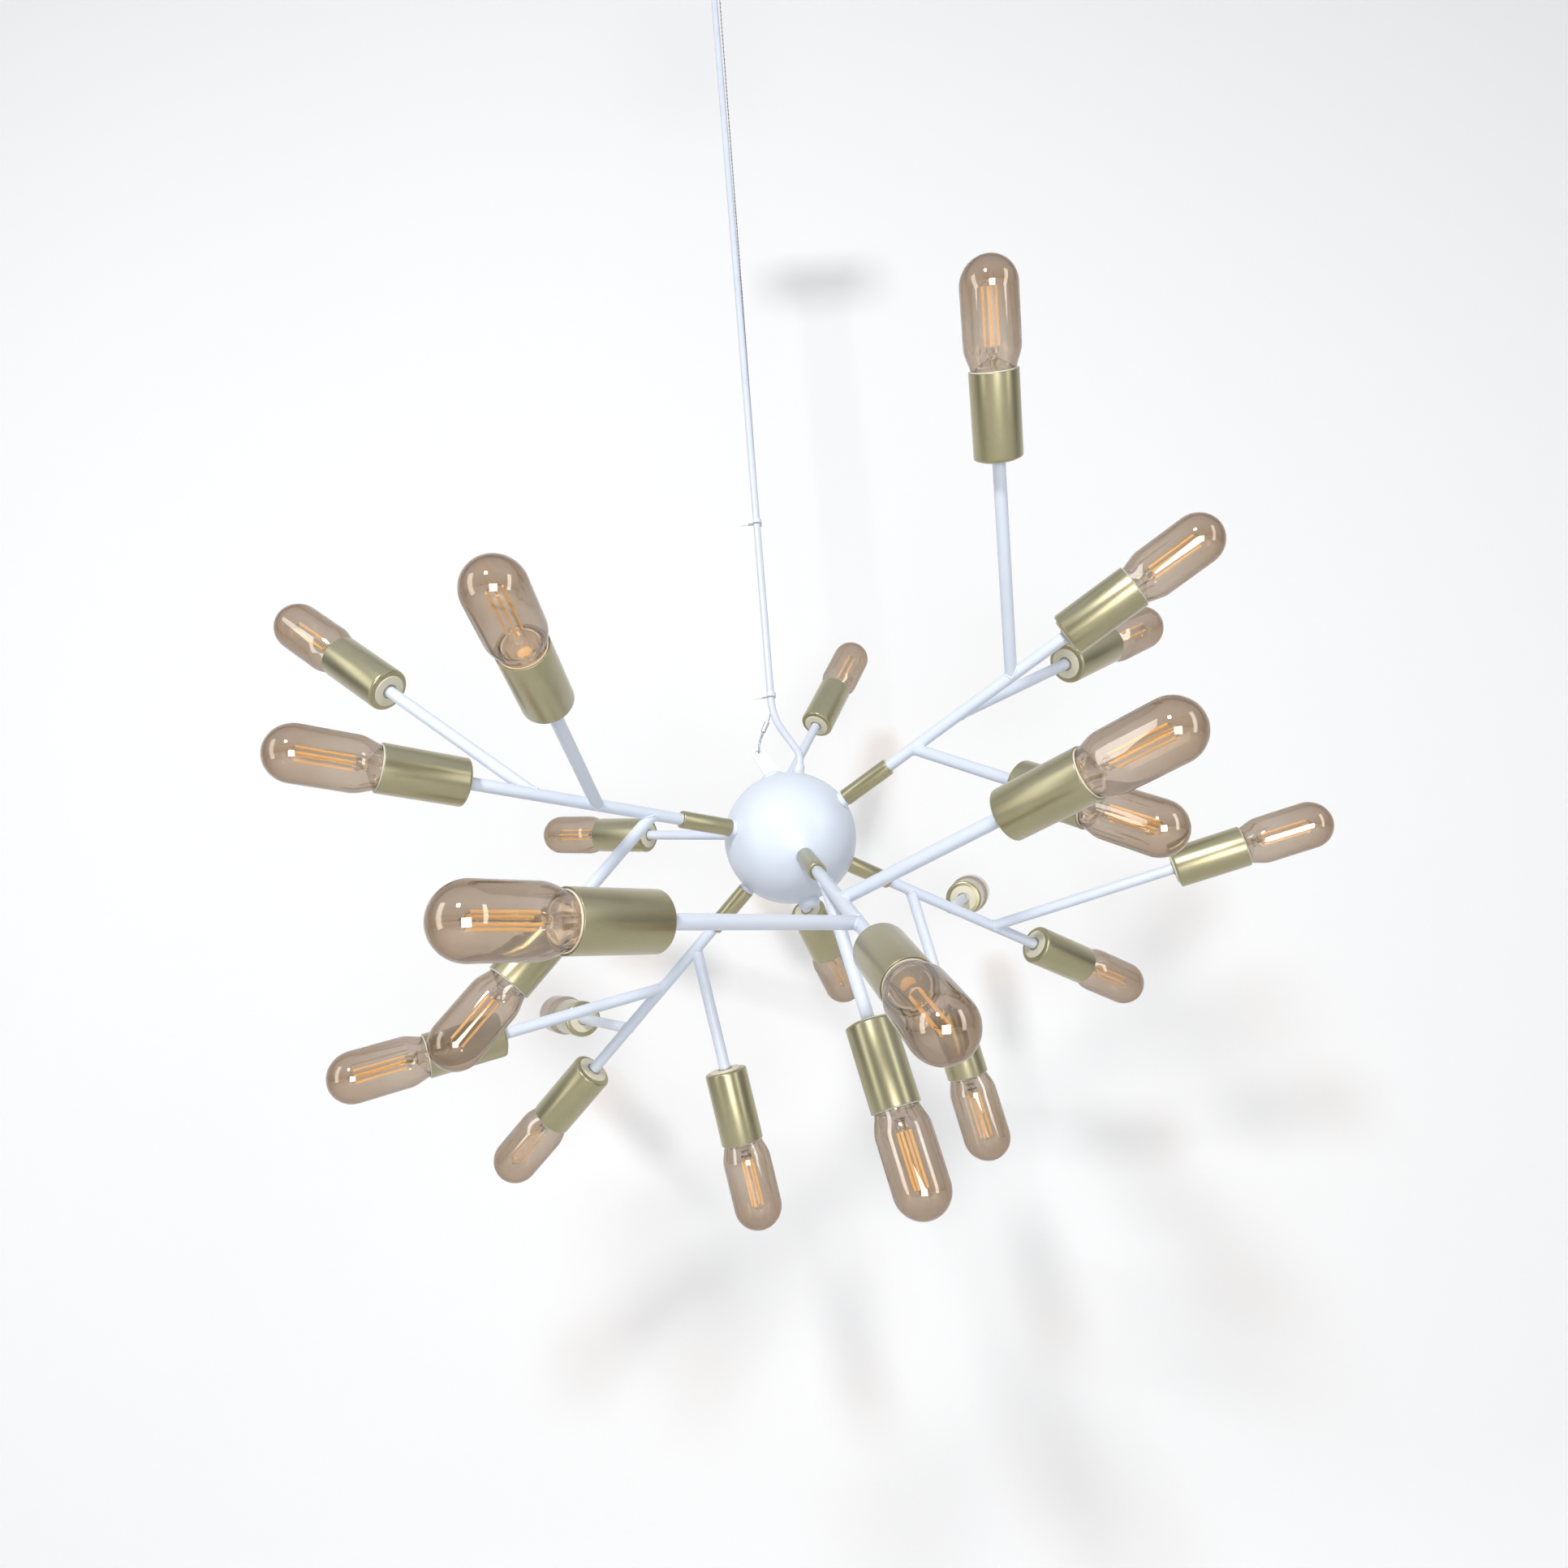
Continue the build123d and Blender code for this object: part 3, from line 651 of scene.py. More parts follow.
def copies(shape: bmesh.types.BMesh, places: Sequence[Matrix]) -> bmesh.types.BMesh:
    """One shape repeated at several places."""
    return gather([(shape, place) for place in places])


def plug(radius: float, low: float, high: float, rounding: float) -> list[Corner]:
    """Half-section of a solid cylinder whose lower edge is rounded, in millimetres."""
    return [(0.0, low, 0.0), (radius, low, rounding), (radius, high, 0.0), (0.0, high, 0.0)]


def linked(name: str, data: bpy.types.ID) -> bpy.types.Object:
    """A new object with the given data, linked to the scene."""
    thing = bpy.data.objects.new(name, data)
    bpy.context.scene.collection.objects.link(thing)
    return thing


def worked(bench: bpy.types.Object) -> bmesh.types.BMesh:
    """Turn a working object's curve or modifiers into a plain shape.

    Args:
        bench: The working object, which is removed.

    Returns:
        The shape that it made.
    """
    graph = bpy.context.evaluated_depsgraph_get()
    shape = bmesh.new()
    shape.from_mesh(bpy.data.meshes.new_from_object(bench.evaluated_get(graph)))
    bench.modifiers.clear()
    bpy.data.objects.remove(bench)
    return shape


def piece(
    name: str, shape: bmesh.types.BMesh, material: bpy.types.Material, sharp: float = 35.0
) -> bpy.types.Object:
    """Make an object from a shape.

    Args:
        name: The object's name.
        shape: Its surface, in the frame's axes.
        material: Its finish.
        sharp: Edges that turn by more than this many degrees stay sharp.

    Returns:
        The new object, at the origin.
    """
    mesh = bpy.data.meshes.new(name)
    shape.to_mesh(mesh)
    mesh.materials.append(material)
    mesh.set_sharp_from_angle(angle=math.radians(sharp))
    return linked(name, mesh)


def settle(thing: bpy.types.Object, body: str, slot: str, *nodes: str) -> None:
    """Hang a piece on the body it rides on and hide the nodes it stands for."""
    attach(thing, body)
    if nodes:
        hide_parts(*nodes)
    LOG.info("%s on %s", thing.name, body)


def frame_at(origin: Vector, axis: Vector, turn: float = 0.0) -> Matrix:
    """Place with +Z along an axis, turned about it by an angle in degrees."""
    turned = axis.to_track_quat("Z", "Y").to_matrix().to_4x4() @ Matrix.Rotation(math.radians(turn), 4, "Z")
    return Matrix.Translation(origin) @ turned


# ---------------------------------------------------------------- geometry nodes
class NodeShop(Wiring):
    """Builds one geometry node tree and bakes it to a plain shape."""

    def __init__(self, name: str) -> None:
        """Start an empty tree.

        Args:
            name: The tree's name.
        """
        self.tree = bpy.data.node_groups.new(name, "GeometryNodeTree")
        self.tree.interface.new_socket("Geometry", in_out="OUTPUT", socket_type="NodeSocketGeometry")
        self.start = self.tree.nodes.new("NodeGroupInput")
        self.end = self.tree.nodes.new("NodeGroupOutput")
        self.values: dict[str, float | int | bpy.types.Material] = {}

    def size(self, name: str, value: float | int | bpy.types.Material) -> bpy.types.NodeSocket:
        """Add a named input and remember its value.

        Args:
            name: The input's name.
            value: A length, a count or a material.

        Returns:
            The socket inside the tree.
        """
        kinds = {int: "NodeSocketInt", float: "NodeSocketFloat"}
        kind = kinds.get(type(value), "NodeSocketMaterial")
        item = self.tree.interface.new_socket(name, in_out="INPUT", socket_type=kind)
        self.values[item.identifier] = value
        return self.start.outputs[name]

    def bake(self, geometry: bpy.types.NodeSocket, material: bpy.types.NodeSocket) -> bmesh.types.BMesh:
        """End the tree, run it on a spare object and keep the result.

        Args:
            geometry: The finished geometry, instances and all.
            material: The material input.

        Returns:
            The baked shape.
        """
        real = self.node("GeometryNodeRealizeInstances", None, {0: geometry})
        look = {"Geometry": real.outputs[0], "Material": material}
        dressed = self.node("GeometryNodeSetMaterial", None, look)
        self.tree.links.new(dressed.outputs[0], self.end.inputs[0])
        bench = linked("bench", bpy.data.meshes.new("bench"))
        modifier = bench.modifiers.new("build", "NODES")
        modifier.node_group = self.tree
        for identifier, value in self.values.items():
            modifier[identifier] = value
        shape = worked(bench)
        for face in shape.faces:
            face.smooth = True
            face.material_index = 0
        bmesh.ops.recalc_face_normals(shape, faces=shape.faces)
        return shape

    def tube(self, line: bpy.types.Node, resolution: int, radius: bpy.types.NodeSocket) -> bpy.types.Node:
        """A round tube with closed ends along a curve."""
        sizes = {"Resolution": resolution, "Radius": radius}
        profile = self.node("GeometryNodeCurvePrimitiveCircle", None, sizes)
        sockets = {"Curve": line.outputs[0], "Profile Curve": profile.outputs[0], "Fill Caps": True}
        return self.node("GeometryNodeCurveToMesh", None, sockets)


def strand_ring(
    count: int, ring: float, thickness: float, length: float, start: float, material: bpy.types.Material
) -> bmesh.types.BMesh:
    """Straight strands that stand in a ring round +Z.

    Args:
        count: Number of strands.
        ring: Radius of the ring, in metres.
        thickness: Radius of a strand, in metres.
        length: Length of a strand, in metres.
        start: Height of their lower ends, in metres.
        material: Their finish.

    Returns:
        The strands as one shape.
    """
    shop = NodeShop("strand_ring")
    number = shop.size("Count", count)
    radius = shop.size("Ring Radius", ring)
    girth = shop.size("Strand Radius", thickness)
    tall = shop.size("Length", length)
    base = shop.size("Start Height", start)
    look = shop.size("Material", material)
    circle = shop.node("GeometryNodeMeshCircle", None, {"Vertices": number, "Radius": radius})
    top = shop.node("ShaderNodeMath", {"operation": "ADD"}, {0: base, 1: tall})
    low = shop.node("ShaderNodeCombineXYZ", None, {"Z": base})
    high = shop.node("ShaderNodeCombineXYZ", None, {"Z": top.outputs[0]})
    ends = {"Start": low.outputs[0], "End": high.outputs[0]}
    strand = shop.tube(shop.node("GeometryNodeCurvePrimitiveLine", None, ends), 10, girth)
    copies = {"Points": circle.outputs[0], "Instance": strand.outputs[0]}
    placed = shop.node("GeometryNodeInstanceOnPoints", None, copies)
    return shop.bake(placed.outputs[0], look)


def thread(
    turns: float, radius: float, pitch: float, depth: float, material: bpy.types.Material
) -> bmesh.types.BMesh:
    """Round-bottomed screw thread about +Z, from its lower end at the origin.

    Args:
        turns: Turns of the thread.
        radius: Radius at the middle of the ridge, in metres.
        pitch: Rise in each turn, in metres.
        depth: Radius of the ridge, in metres.
        material: Its finish.

    Returns:
        The ridge as one shape.
    """
    shop = NodeShop("screw_thread")
    count = shop.size("Turns", turns)
    wide = shop.size("Radius", radius)
    rise = shop.size("Pitch", pitch)
    ridge = shop.size("Ridge Radius", depth)
    look = shop.size("Material", material)
    height = shop.node("ShaderNodeMath", {"operation": "MULTIPLY"}, {0: count, 1: rise})
    sizes = {"Rotations": count, "Start Radius": wide, "End Radius": wide, "Height": height.outputs[0]}
    spiral = shop.node("GeometryNodeCurveSpiral", None, {"Resolution": 24, **sizes})
    return shop.bake(shop.tube(spiral, 6, ridge).outputs[0], look)


# ---------------------------------------------------------------- the frame's own places
class Spot(Enum):
    """Where a lamp sits on its arm."""

    INNER = "inner"
    MIDDLE = "middle"
    OUTER = "outer"
    END = "end"


class ArmName(Enum):
    """The six arms, by the side that each reaches to."""

    FRONT = "front"
    RIGHT_UPPER = "right_upper"
    RIGHT_LOWER = "right_lower"
    BACK = "back"
    LEFT_LOWER = "left_lower"
    LEFT_UPPER = "left_upper"


@dataclass(frozen=True)
class Hinge:
    """A joint's point and direction."""

    origin: Vector
    axis: Vector

    def place(self, turn: float = 0.0) -> Matrix:
        """Its own place, with +Z along its direction, turned about it in degrees."""
        return frame_at(self.origin, self.axis, turn)


def hinge(name: str) -> Hinge:
    """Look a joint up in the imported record.

    Args:
        name: The joint's name.

    Returns:
        Its point and its direction.
    """
    joints = frame["record"]["behaviour"]["joints"]
    joint = next(item for item in joints if item["name"] == name)
    return Hinge(Vector(joint["pos_m"]), Vector(joint["axis"]).normalized())


@dataclass(frozen=True)
class ArmPlan:
    """One arm's line and the places of its four lamps."""

    name: ArmName
    line: Hinge
    lamps: dict[Spot, Hinge]

    @property
    def body(self) -> str:
        """The body that the arm rides on."""
        return f"{self.name.value}_arm"

    def lamp_body(self, spot: Spot) -> str:
        """The body of one lamp."""
        return f"{self.name.value}_{spot.value}_lamp"

    @property
    def seats(self) -> list[Matrix]:
        """The places of its four cups."""
        return [lamp.place() for lamp in self.lamps.values()]

    def root(self, spot: Spot) -> Vector:
        """Where a side rod's middle line meets the main tube's."""
        lamp = self.lamps[spot]
        across = self.line.axis.cross(lamp.axis)
        gap = lamp.origin - self.line.origin
        distance = gap.cross(lamp.axis).dot(across) / across.length_squared
        return self.line.origin + self.line.axis * distance


def arm_plans() -> list[ArmPlan]:
    """Read the six arms from the record."""
    plans = []
    for name in ArmName:
        lamps = {spot: hinge(f"{name.value}_{spot.value}_lamp_screw") for spot in Spot}
        plans.append(ArmPlan(name, hinge(f"{name.value}_arm_turn"), lamps))
    return plans


# ---------------------------------------------------------------- lamps
@dataclass
class Lamp:
    """A tubular filament lamp, along +Z from the back of its cup. Sizes in millimetres."""

    finishes: Finishes
    cap_radius: float = 6.5
    cap_low: float = 11.6
    cap_high: float = 32.0
    contact_radius: float = 2.6
    neck_radius: float = 11.2
    radius: float = 14.7
    shoulder_low: float = 42.0
    shoulder_high: float = 57.0
    tip: float = 99.3
    wall: float = 0.75
    stem_top: float = 55.5
    filament_start: float = 56.5
    filament_length: float = 28.0
    filament_ring: float = 3.4
    filament_radius: float = 0.75
    strands: int = 4
    flare_height: float = 44.6
    flare_dish: float = 7.2
    dot_radius: float = 2.3
    bead: float = 1.3
    crown_rise: float = 2.2
    lead_radius: float = 0.22
    thread_turns: float = 5.0
    thread_pitch: float = 2.8
    thread_ridge: float = 0.7
    thread_start: float = 2.8
    shapes: dict[str, bmesh.types.BMesh] = field(default_factory=dict)

    def outline(self, inset: float) -> list[Vector]:
        """Half-section of the glass, from the cap to the tip, drawn in by an inset."""
        neck = self.cap_radius - inset
        points = [Vector((neck, self.cap_high - 0.6)), Vector((neck, self.cap_high))]
        flare_steps, shoulder_steps, dome_steps = 8, 14, 18
        for step in range(1, flare_steps + 1):
            share = step / flare_steps
            ease = math.sin(share * math.pi / 2)
            radius = self.cap_radius + (self.neck_radius - self.cap_radius) * ease
            height = self.cap_high + (self.shoulder_low - self.cap_high) * share
            points.append(Vector((radius - inset, height)))
        for step in range(1, shoulder_steps + 1):
            share = step / shoulder_steps
            ease = (1 - math.cos(share * math.pi)) / 2
            radius = self.neck_radius + (self.radius - self.neck_radius) * ease
            height = self.shoulder_low + (self.shoulder_high - self.shoulder_low) * share
            points.append(Vector((radius - inset, height)))
        middle, reach = self.tip - self.radius, self.radius - inset
        for step in range(dome_steps):
            angle = math.pi / 2 * step / dome_steps
            points.append(Vector((reach * math.cos(angle), middle + reach * math.sin(angle))))
        points.append(Vector((0.0, middle + reach)))
        return points

    def build(self) -> None:
        """Make the four shapes that every lamp shares."""
        outer, inner = self.outline(0.0), self.outline(self.wall)
        self.shapes["glass"] = lathe(outer + inner[::-1], 56, closed=True)
        neck_inside = self.neck_radius - self.wall
        stem = [
            (0.0, self.flare_height, 0.0),
            (neck_inside - 0.5, self.flare_height, 0.3),
            (neck_inside - 1.4, self.flare_height + 2.4, 1.5),
            (3.0, self.stem_top - 5.0, 4.0),
            (2.0, self.stem_top - 3.2, 0.8),
            (3.5, self.stem_top - 1.4, 1.0),
            (3.2, self.stem_top, 0.7),
            (0.0, self.stem_top, 0.0),
        ]
        crown = self.filament_start + self.filament_length + self.crown_rise
        bead = [
            (0.0, crown - 1.4, 0.0),
            (self.bead, crown - 1.0, 1.0),
            (self.bead, crown + 1.0, 1.0),
            (0.0, crown + 1.4, 0.0),
        ]
        self.shapes["stem"] = gather([(spun(stem, 4, 32), Matrix()), (spun(bead, 4, 16), Matrix())])
        flare = [
            (self.dot_radius, self.flare_height - 1.6, 0.0),
            (self.flare_dish, self.flare_height - 1.6, 0.5),
            (self.flare_dish + 0.5, self.flare_height - 0.1, 0.4),
            (neck_inside - 0.4, self.flare_height - 0.1, 0.4),
            (neck_inside - 0.3, self.flare_height - 2.4, 0.3),
            (self.dot_radius, self.flare_height - 2.4, 0.0),
        ]
        self.shapes["flare"] = spun(flare, 3, 40, closed=True)
        strands = strand_ring(
            self.strands,
            self.filament_ring * MM,
            self.filament_radius * MM,
            self.filament_length * MM,
            self.filament_start * MM,
            self.finishes.phosphor,
        )
        # The stem's dot shares the filament finish and its painted glow.
        dot = [(0.0, -2.4, 0.0), (self.dot_radius, -2.4, 0.0), (self.dot_radius, -1.2, 0.6), (0.0, -1.0, 0.0)]
        at_flare = Matrix.Translation((0, 0, self.flare_height * MM))
        self.shapes["filament"] = gather([(strands, Matrix()), (spun(dot, 3, 16), at_flare)])
        self.shapes["metal"] = gather([(self.cap_shape(), Matrix()), (self.lead_shape(), Matrix())])

    def cap_shape(self) -> bmesh.types.BMesh:
        """The screw cap, its thread and its centre contact."""
        body = [
            (0.0, self.cap_low - 1.0, 0.0),
            (self.contact_radius, self.cap_low - 1.0, 0.4),
            (self.contact_radius + 0.4, self.cap_low, 0.3),
            (self.cap_radius - 0.9, self.cap_low + 1.6, 0.6),
            (self.cap_radius - 0.4, self.cap_low + 2.6, 0.6),
            (self.cap_radius - 0.4, self.cap_high - 3.0, 0.3),
            (self.cap_radius + 0.35, self.cap_high - 2.6, 0.3),
            (self.cap_radius + 0.35, self.cap_high, 0.2),
            (0.0, self.cap_high, 0.0),
        ]
        middle = (self.cap_radius - 0.4) * MM
        pitch, depth = self.thread_pitch * MM, self.thread_ridge * MM
        ridge = thread(self.thread_turns, middle, pitch, depth, self.finishes.cap)
        up = Matrix.Translation((0, 0, (self.cap_low + self.thread_start) * MM))
        return gather([(spun(body, 3, 32), Matrix()), (ridge, up)])

    def lead_shape(self) -> bmesh.types.BMesh:
        """Thin wires that carry the filaments between stem and crown."""
        wire = ring_outline(self.lead_radius * MM, 6)
        low, high = self.filament_start, self.filament_start + self.filament_length
        parts = []
        for index in range(self.strands):
            turn = 2 * math.pi * index / self.strands
            out = Vector((math.cos(turn), math.sin(turn), 0))
            foot = [
                out * 1.6 * MM + Vector((0, 0, (self.stem_top - 2.0) * MM)),
                out * self.filament_ring * 0.8 * MM + Vector((0, 0, self.stem_top * MM)),
                out * self.filament_ring * MM + Vector((0, 0, (low + 0.6) * MM)),
            ]
            crown = [
                out * self.filament_ring * MM + Vector((0, 0, (high - 0.6) * MM)),
                out * self.filament_ring * 0.75 * MM + Vector((0, 0, (high + 1.6) * MM)),
                out * 0.1 * MM + Vector((0, 0, (high + self.crown_rise) * MM)),
            ]
            parts += [(sweep(foot, wire), Matrix()), (sweep(crown, wire), Matrix())]
        mast = [Vector((0, 0, self.stem_top * MM - 1 * MM)), Vector((0, 0, (high + 2.4) * MM))]
        parts.append((sweep(mast, wire), Matrix()))
        return gather(parts)

    def fit(self, plan: ArmPlan, spot: Spot, turn: float) -> None:
        """Put one lamp in its holder.

        Args:
            plan: The arm that carries it.
            spot: Its place on the arm.
            turn: How far it is turned about itself, in degrees.
        """
        place = plan.lamps[spot].place(turn)
        label = f"{plan.name.value}_{spot.value}"
        looks = {
            "glass": self.finishes.glass,
            "stem": self.finishes.stem,
            "flare": self.finishes.flare,
            "metal": self.finishes.cap,
            "filament": self.finishes.phosphor,
        }
        for part, material in looks.items():
            thing = piece(f"lamp_{part}_{label}", copies(self.shapes[part], [place]), material)
            nodes = (f"bulb_{label}",) if part == "glass" else ()
            settle(thing, plan.lamp_body(spot), "amber_glass", *nodes)


# ---------------------------------------------------------------- cups, holders and arms
@dataclass
class Cup:
    """A brass cup and the lampholder inside it, along +Z from its back. Sizes in millimetres."""

    finishes: Finishes
    radius: float = 12.9
    wall: float = 0.8
    length: float = 45.0
    disc_radius: float = 9.6
    disc_height: float = 0.9
    back_edge: float = 1.5
    stud_hole: float = 3.0
    holder_radius: float = 10.4
    holder_bore: float = 7.3
    holder_front: float = 31.0
    holder_floor: float = 9.5

    def cup_shape(self) -> bmesh.types.BMesh:
        """The drawn tube with its closed back."""
        inside = self.radius - self.wall
        section = [
            (self.stud_hole, self.disc_height, 0.0),
            (self.radius, self.disc_height, self.back_edge),
            (self.radius, self.length, 0.25),
            (inside, self.length, 0.25),
            (inside, self.disc_height + self.wall, 0.6),
            (self.stud_hole, self.disc_height + self.wall, 0.0),
        ]
        return spun(section, 5, 96, closed=True)

    def disc_shape(self) -> bmesh.types.BMesh:
        """The disc on the cup's back, painted pale cream as a highlight on the brass back face."""
        return spun(plug(self.disc_radius, 0.0, self.disc_height, 0.4), 4, 64)

    def holder_shape(self) -> bmesh.types.BMesh:
        """The lampholder: skirt, stepped front and bore, and the white ring in the cup's mouth."""
        section = [
            (0.0, self.holder_floor, 0.0),
            (self.holder_bore - 0.4, self.holder_floor, 0.3),
            (self.holder_bore, self.holder_front, 0.2),
            (self.holder_radius - 1.2, self.holder_front, 0.4),
            (self.holder_radius - 1.2, self.holder_front - 5.0, 0.2),
            (self.holder_radius, self.holder_front - 5.0, 0.4),
            (self.holder_radius, 2.2, 0.5),
            (0.0, 2.2, 0.0),
        ]
        inside = self.radius - self.wall
        lining = [
            (inside - 0.7, self.length - 2.2, 0.0),
            (inside - 0.05, self.length - 2.2, 0.0),
            (inside - 0.05, self.length + 0.55, 0.25),
            (inside - 0.7, self.length + 0.55, 0.25),
        ]
        ring = lathe(soften([*lining, lining[0]], 3)[:-1], 64, closed=True)
        return gather([(spun(section, 3, 48), Matrix()), (ring, Matrix())])

    def fit(self, plan: ArmPlan) -> None:
        """Put an arm's four cups and holders in place."""
        arm, looks = plan.name.value, self.finishes
        for name, shape, material, slot, nodes in (
            ("brass_cups", self.cup_shape(), looks.brass, "satin_brass", [f"cups_{arm}"]),
            # The disc's pale cream colour is a painted highlight of the brass back face.
            ("cup_discs", self.disc_shape(), looks.back_face_highlight, "holder_plastic", []),
            ("lampholder_set", self.holder_shape(), looks.holder, "holder_plastic", [f"lampholders_{arm}"]),
        ):
            settle(piece(f"{name}_{arm}", copies(shape, plan.seats), material), plan.body, slot, *nodes)


@dataclass
class Arm:
    """Main tube and side rods with their welds. Sizes in millimetres."""

    finishes: Finishes
    radius: float = 3.5
    start: float = 60.0
    bead: float = 0.55
    collar_radius: float = 4.5
    collar_height: float = 0.5
    stud_length: float = 6.5

    def rod(self, low: float, high: float) -> bmesh.types.BMesh:
        """A closed round rod between two distances along +Z."""
        return spun(plug(self.radius, low, high, 0.3), 3, 32)

    def weld(self, plan: ArmPlan, spot: Spot) -> bmesh.types.BMesh:
        """The bead round a side rod's root, along the line where the two tubes meet."""
        root, heading = plan.root(spot), plan.lamps[spot].axis
        place = frame_at(root, heading)
        line = plan.line.axis
        radius = self.radius * MM
        points, steps = [], 48
        for step in range(steps):
            turn = 2 * math.pi * step / steps
            foot = place.to_3x3() @ Vector((radius * math.cos(turn), radius * math.sin(turn), 0))
            flat_foot, flat_heading = foot - line * foot.dot(line), heading - line * heading.dot(line)
            a, b = flat_heading.length_squared, flat_heading.dot(flat_foot)
            c = flat_foot.length_squared - radius**2
            rise = (-b + math.sqrt(max(b * b - a * c, 0.0))) / a
            points.append(root + foot + heading * rise)
        return sweep(points, ring_outline(self.bead * MM, 8), closed=True)

    def fit(self, plan: ArmPlan) -> None:
        """Build one arm in place."""
        reach = (plan.lamps[Spot.END].origin - plan.line.origin).length / MM
        parts = [(self.rod(self.start, reach + self.stud_length), plan.line.place())]
        collar = spun(plug(self.collar_radius, -self.collar_height, 0.0, 0.2), 3, 32)
        for spot in (Spot.INNER, Spot.MIDDLE, Spot.OUTER):
            lamp = plan.lamps[spot]
            root = plan.root(spot)
            length = (lamp.origin - root).length / MM
            parts.append((self.rod(0.0, length + self.stud_length), frame_at(root, lamp.axis)))
            parts.append((self.weld(plan, spot), Matrix()))
        tubes = piece(f"arm_tubes_{plan.name.value}", gather(parts), self.finishes.paint)
        settle(tubes, plan.body, "white_paint", f"arm_{plan.name.value}")
        rings = piece(f"rod_rings_{plan.name.value}", copies(collar, plan.seats), self.finishes.collar)
        settle(rings, plan.body, "zinc_steel")


# ---------------------------------------------------------------- hub
@dataclass
class Hub:
    """The ball with its necks, couplings, tab, gland and finial. Sizes in millimetres."""

    finishes: Finishes
    centre: Vector
    radius: float = 40.0
    wall: float = 1.2
    tilt: float = 11.3
    seam: float = 0.004
    shell_steps: int = 40
    neck_radius: float = 3.9
    neck_bore: float = 2.6
    collar_radius: float = 4.7
    collar_start: float = 40.05
    collar_end: float = 42.85
    neck_end: float = 58.0
    sleeve_radius: float = 5.1
    sleeve_bore: float = 3.6
    sleeve_end: float = 75.0
    tab_thickness: float = 1.6
    tab_root: float = 4.8
    tab_eye: float = 4.3
    tab_hole: float = 2.2
    tab_height: float = 16.4
    tab_lean: float = -4.3
    tab_foot: float = 6.5
    finial_radius: float = 6.8
    finial_height: float = 4.2
    gland_foot: float = 3.9
    gland_tip: float = 3.1
    gland_height: float = 7.0

    @property
    def hang(self) -> Matrix:
        """The ball's own place: it leans as it hangs."""
        return Matrix.Translation(self.centre) @ Matrix.Rotation(-math.radians(self.tilt), 4, "Y")

    def shell_shape(self, side: int) -> bmesh.types.BMesh:
        """Half of the ball, upper or lower, whose first narrow ring keeps the joint smooth."""
        steps = self.shell_steps
        angles = [0.0, self.seam] + [math.pi / 2 * step / steps for step in range(1, steps)]
        outer, inner = [], []
        for points, radius in ((outer, self.radius), (inner, self.radius - self.wall)):
            points += [Vector((radius * math.cos(a), side * radius * math.sin(a))) for a in angles]
            points.append(Vector((0.0, side * radius)))
        return lathe([*outer, *inner[::-1]], 128, closed=True)

    def fit_shells(self) -> None:
        """The ball's two halves."""
        for side, label in ((1, "upper"), (-1, "lower")):
            shell = piece(f"ball_{label}", copies(self.shell_shape(side), [self.hang]), self.finishes.paint)
            settle(shell, "hub", "white_paint", f"hub_{label}_shell")

    def fit_couplings(self, plans: Sequence[ArmPlan]) -> None:
        """White necks and brass sleeves, one of each for every arm."""
        neck = [
            (self.neck_bore, 34.0, 0.0),
            (self.neck_radius, 34.0, 0.2),
            (self.neck_radius, self.collar_start, 0.1),
            (self.collar_radius + 0.9, self.collar_start - 0.5, 0.4),
            (self.collar_radius, self.collar_start + 1.3, 0.6),
            (self.collar_radius, self.collar_end, 0.3),
            (self.neck_radius, self.collar_end, 0.1),
            (self.neck_radius, self.neck_end, 0.2),
            (self.neck_bore, self.neck_end, 0.0),
        ]
        sleeve = [
            (self.neck_radius, self.collar_end, 0.0),
            (self.sleeve_radius, self.collar_end, 0.35),
            (self.sleeve_radius, self.sleeve_end, 0.35),
            (self.sleeve_bore, self.sleeve_end, 0.15),
            (self.sleeve_bore, self.neck_end + 1.0, 0.0),
            (self.neck_radius, self.neck_end + 1.0, 0.0),
        ]
        places = [plan.line.place() for plan in plans]
        for name, section, material, slot, node in (
            ("white_necks", neck, self.finishes.paint, "white_paint", "arm_necks"),
            ("brass_sleeves", sleeve, self.finishes.brass, "satin_brass", "coupling_sleeves"),
        ):
            shape = copies(spun(section, 4, 48, closed=True), places)
            settle(piece(name, shape, material), "hub", slot, node)

    def tab_outline(self) -> list[Vector]:
        """Points round the tab: a wide foot that draws in to the eye."""
        foot = Vector((0.0, self.tab_root - 1.0))
        eye = Vector((self.tab_lean, self.tab_height))
        line = eye - foot
        spread = math.acos((self.tab_root - self.tab_eye) / line.length)
        heading = math.atan2(line.y, line.x)
        points, steps = [], 24
        for step in range(steps + 1):
            angle = heading - spread + 2 * spread * step / steps
            points.append(eye + Vector((math.cos(angle), math.sin(angle))) * self.tab_eye)
        for step in range(steps + 1):
            angle = heading + spread + (2 * math.pi - 2 * spread) * step / steps
            points.append(foot + Vector((math.cos(angle), math.sin(angle))) * self.tab_root)
        return points

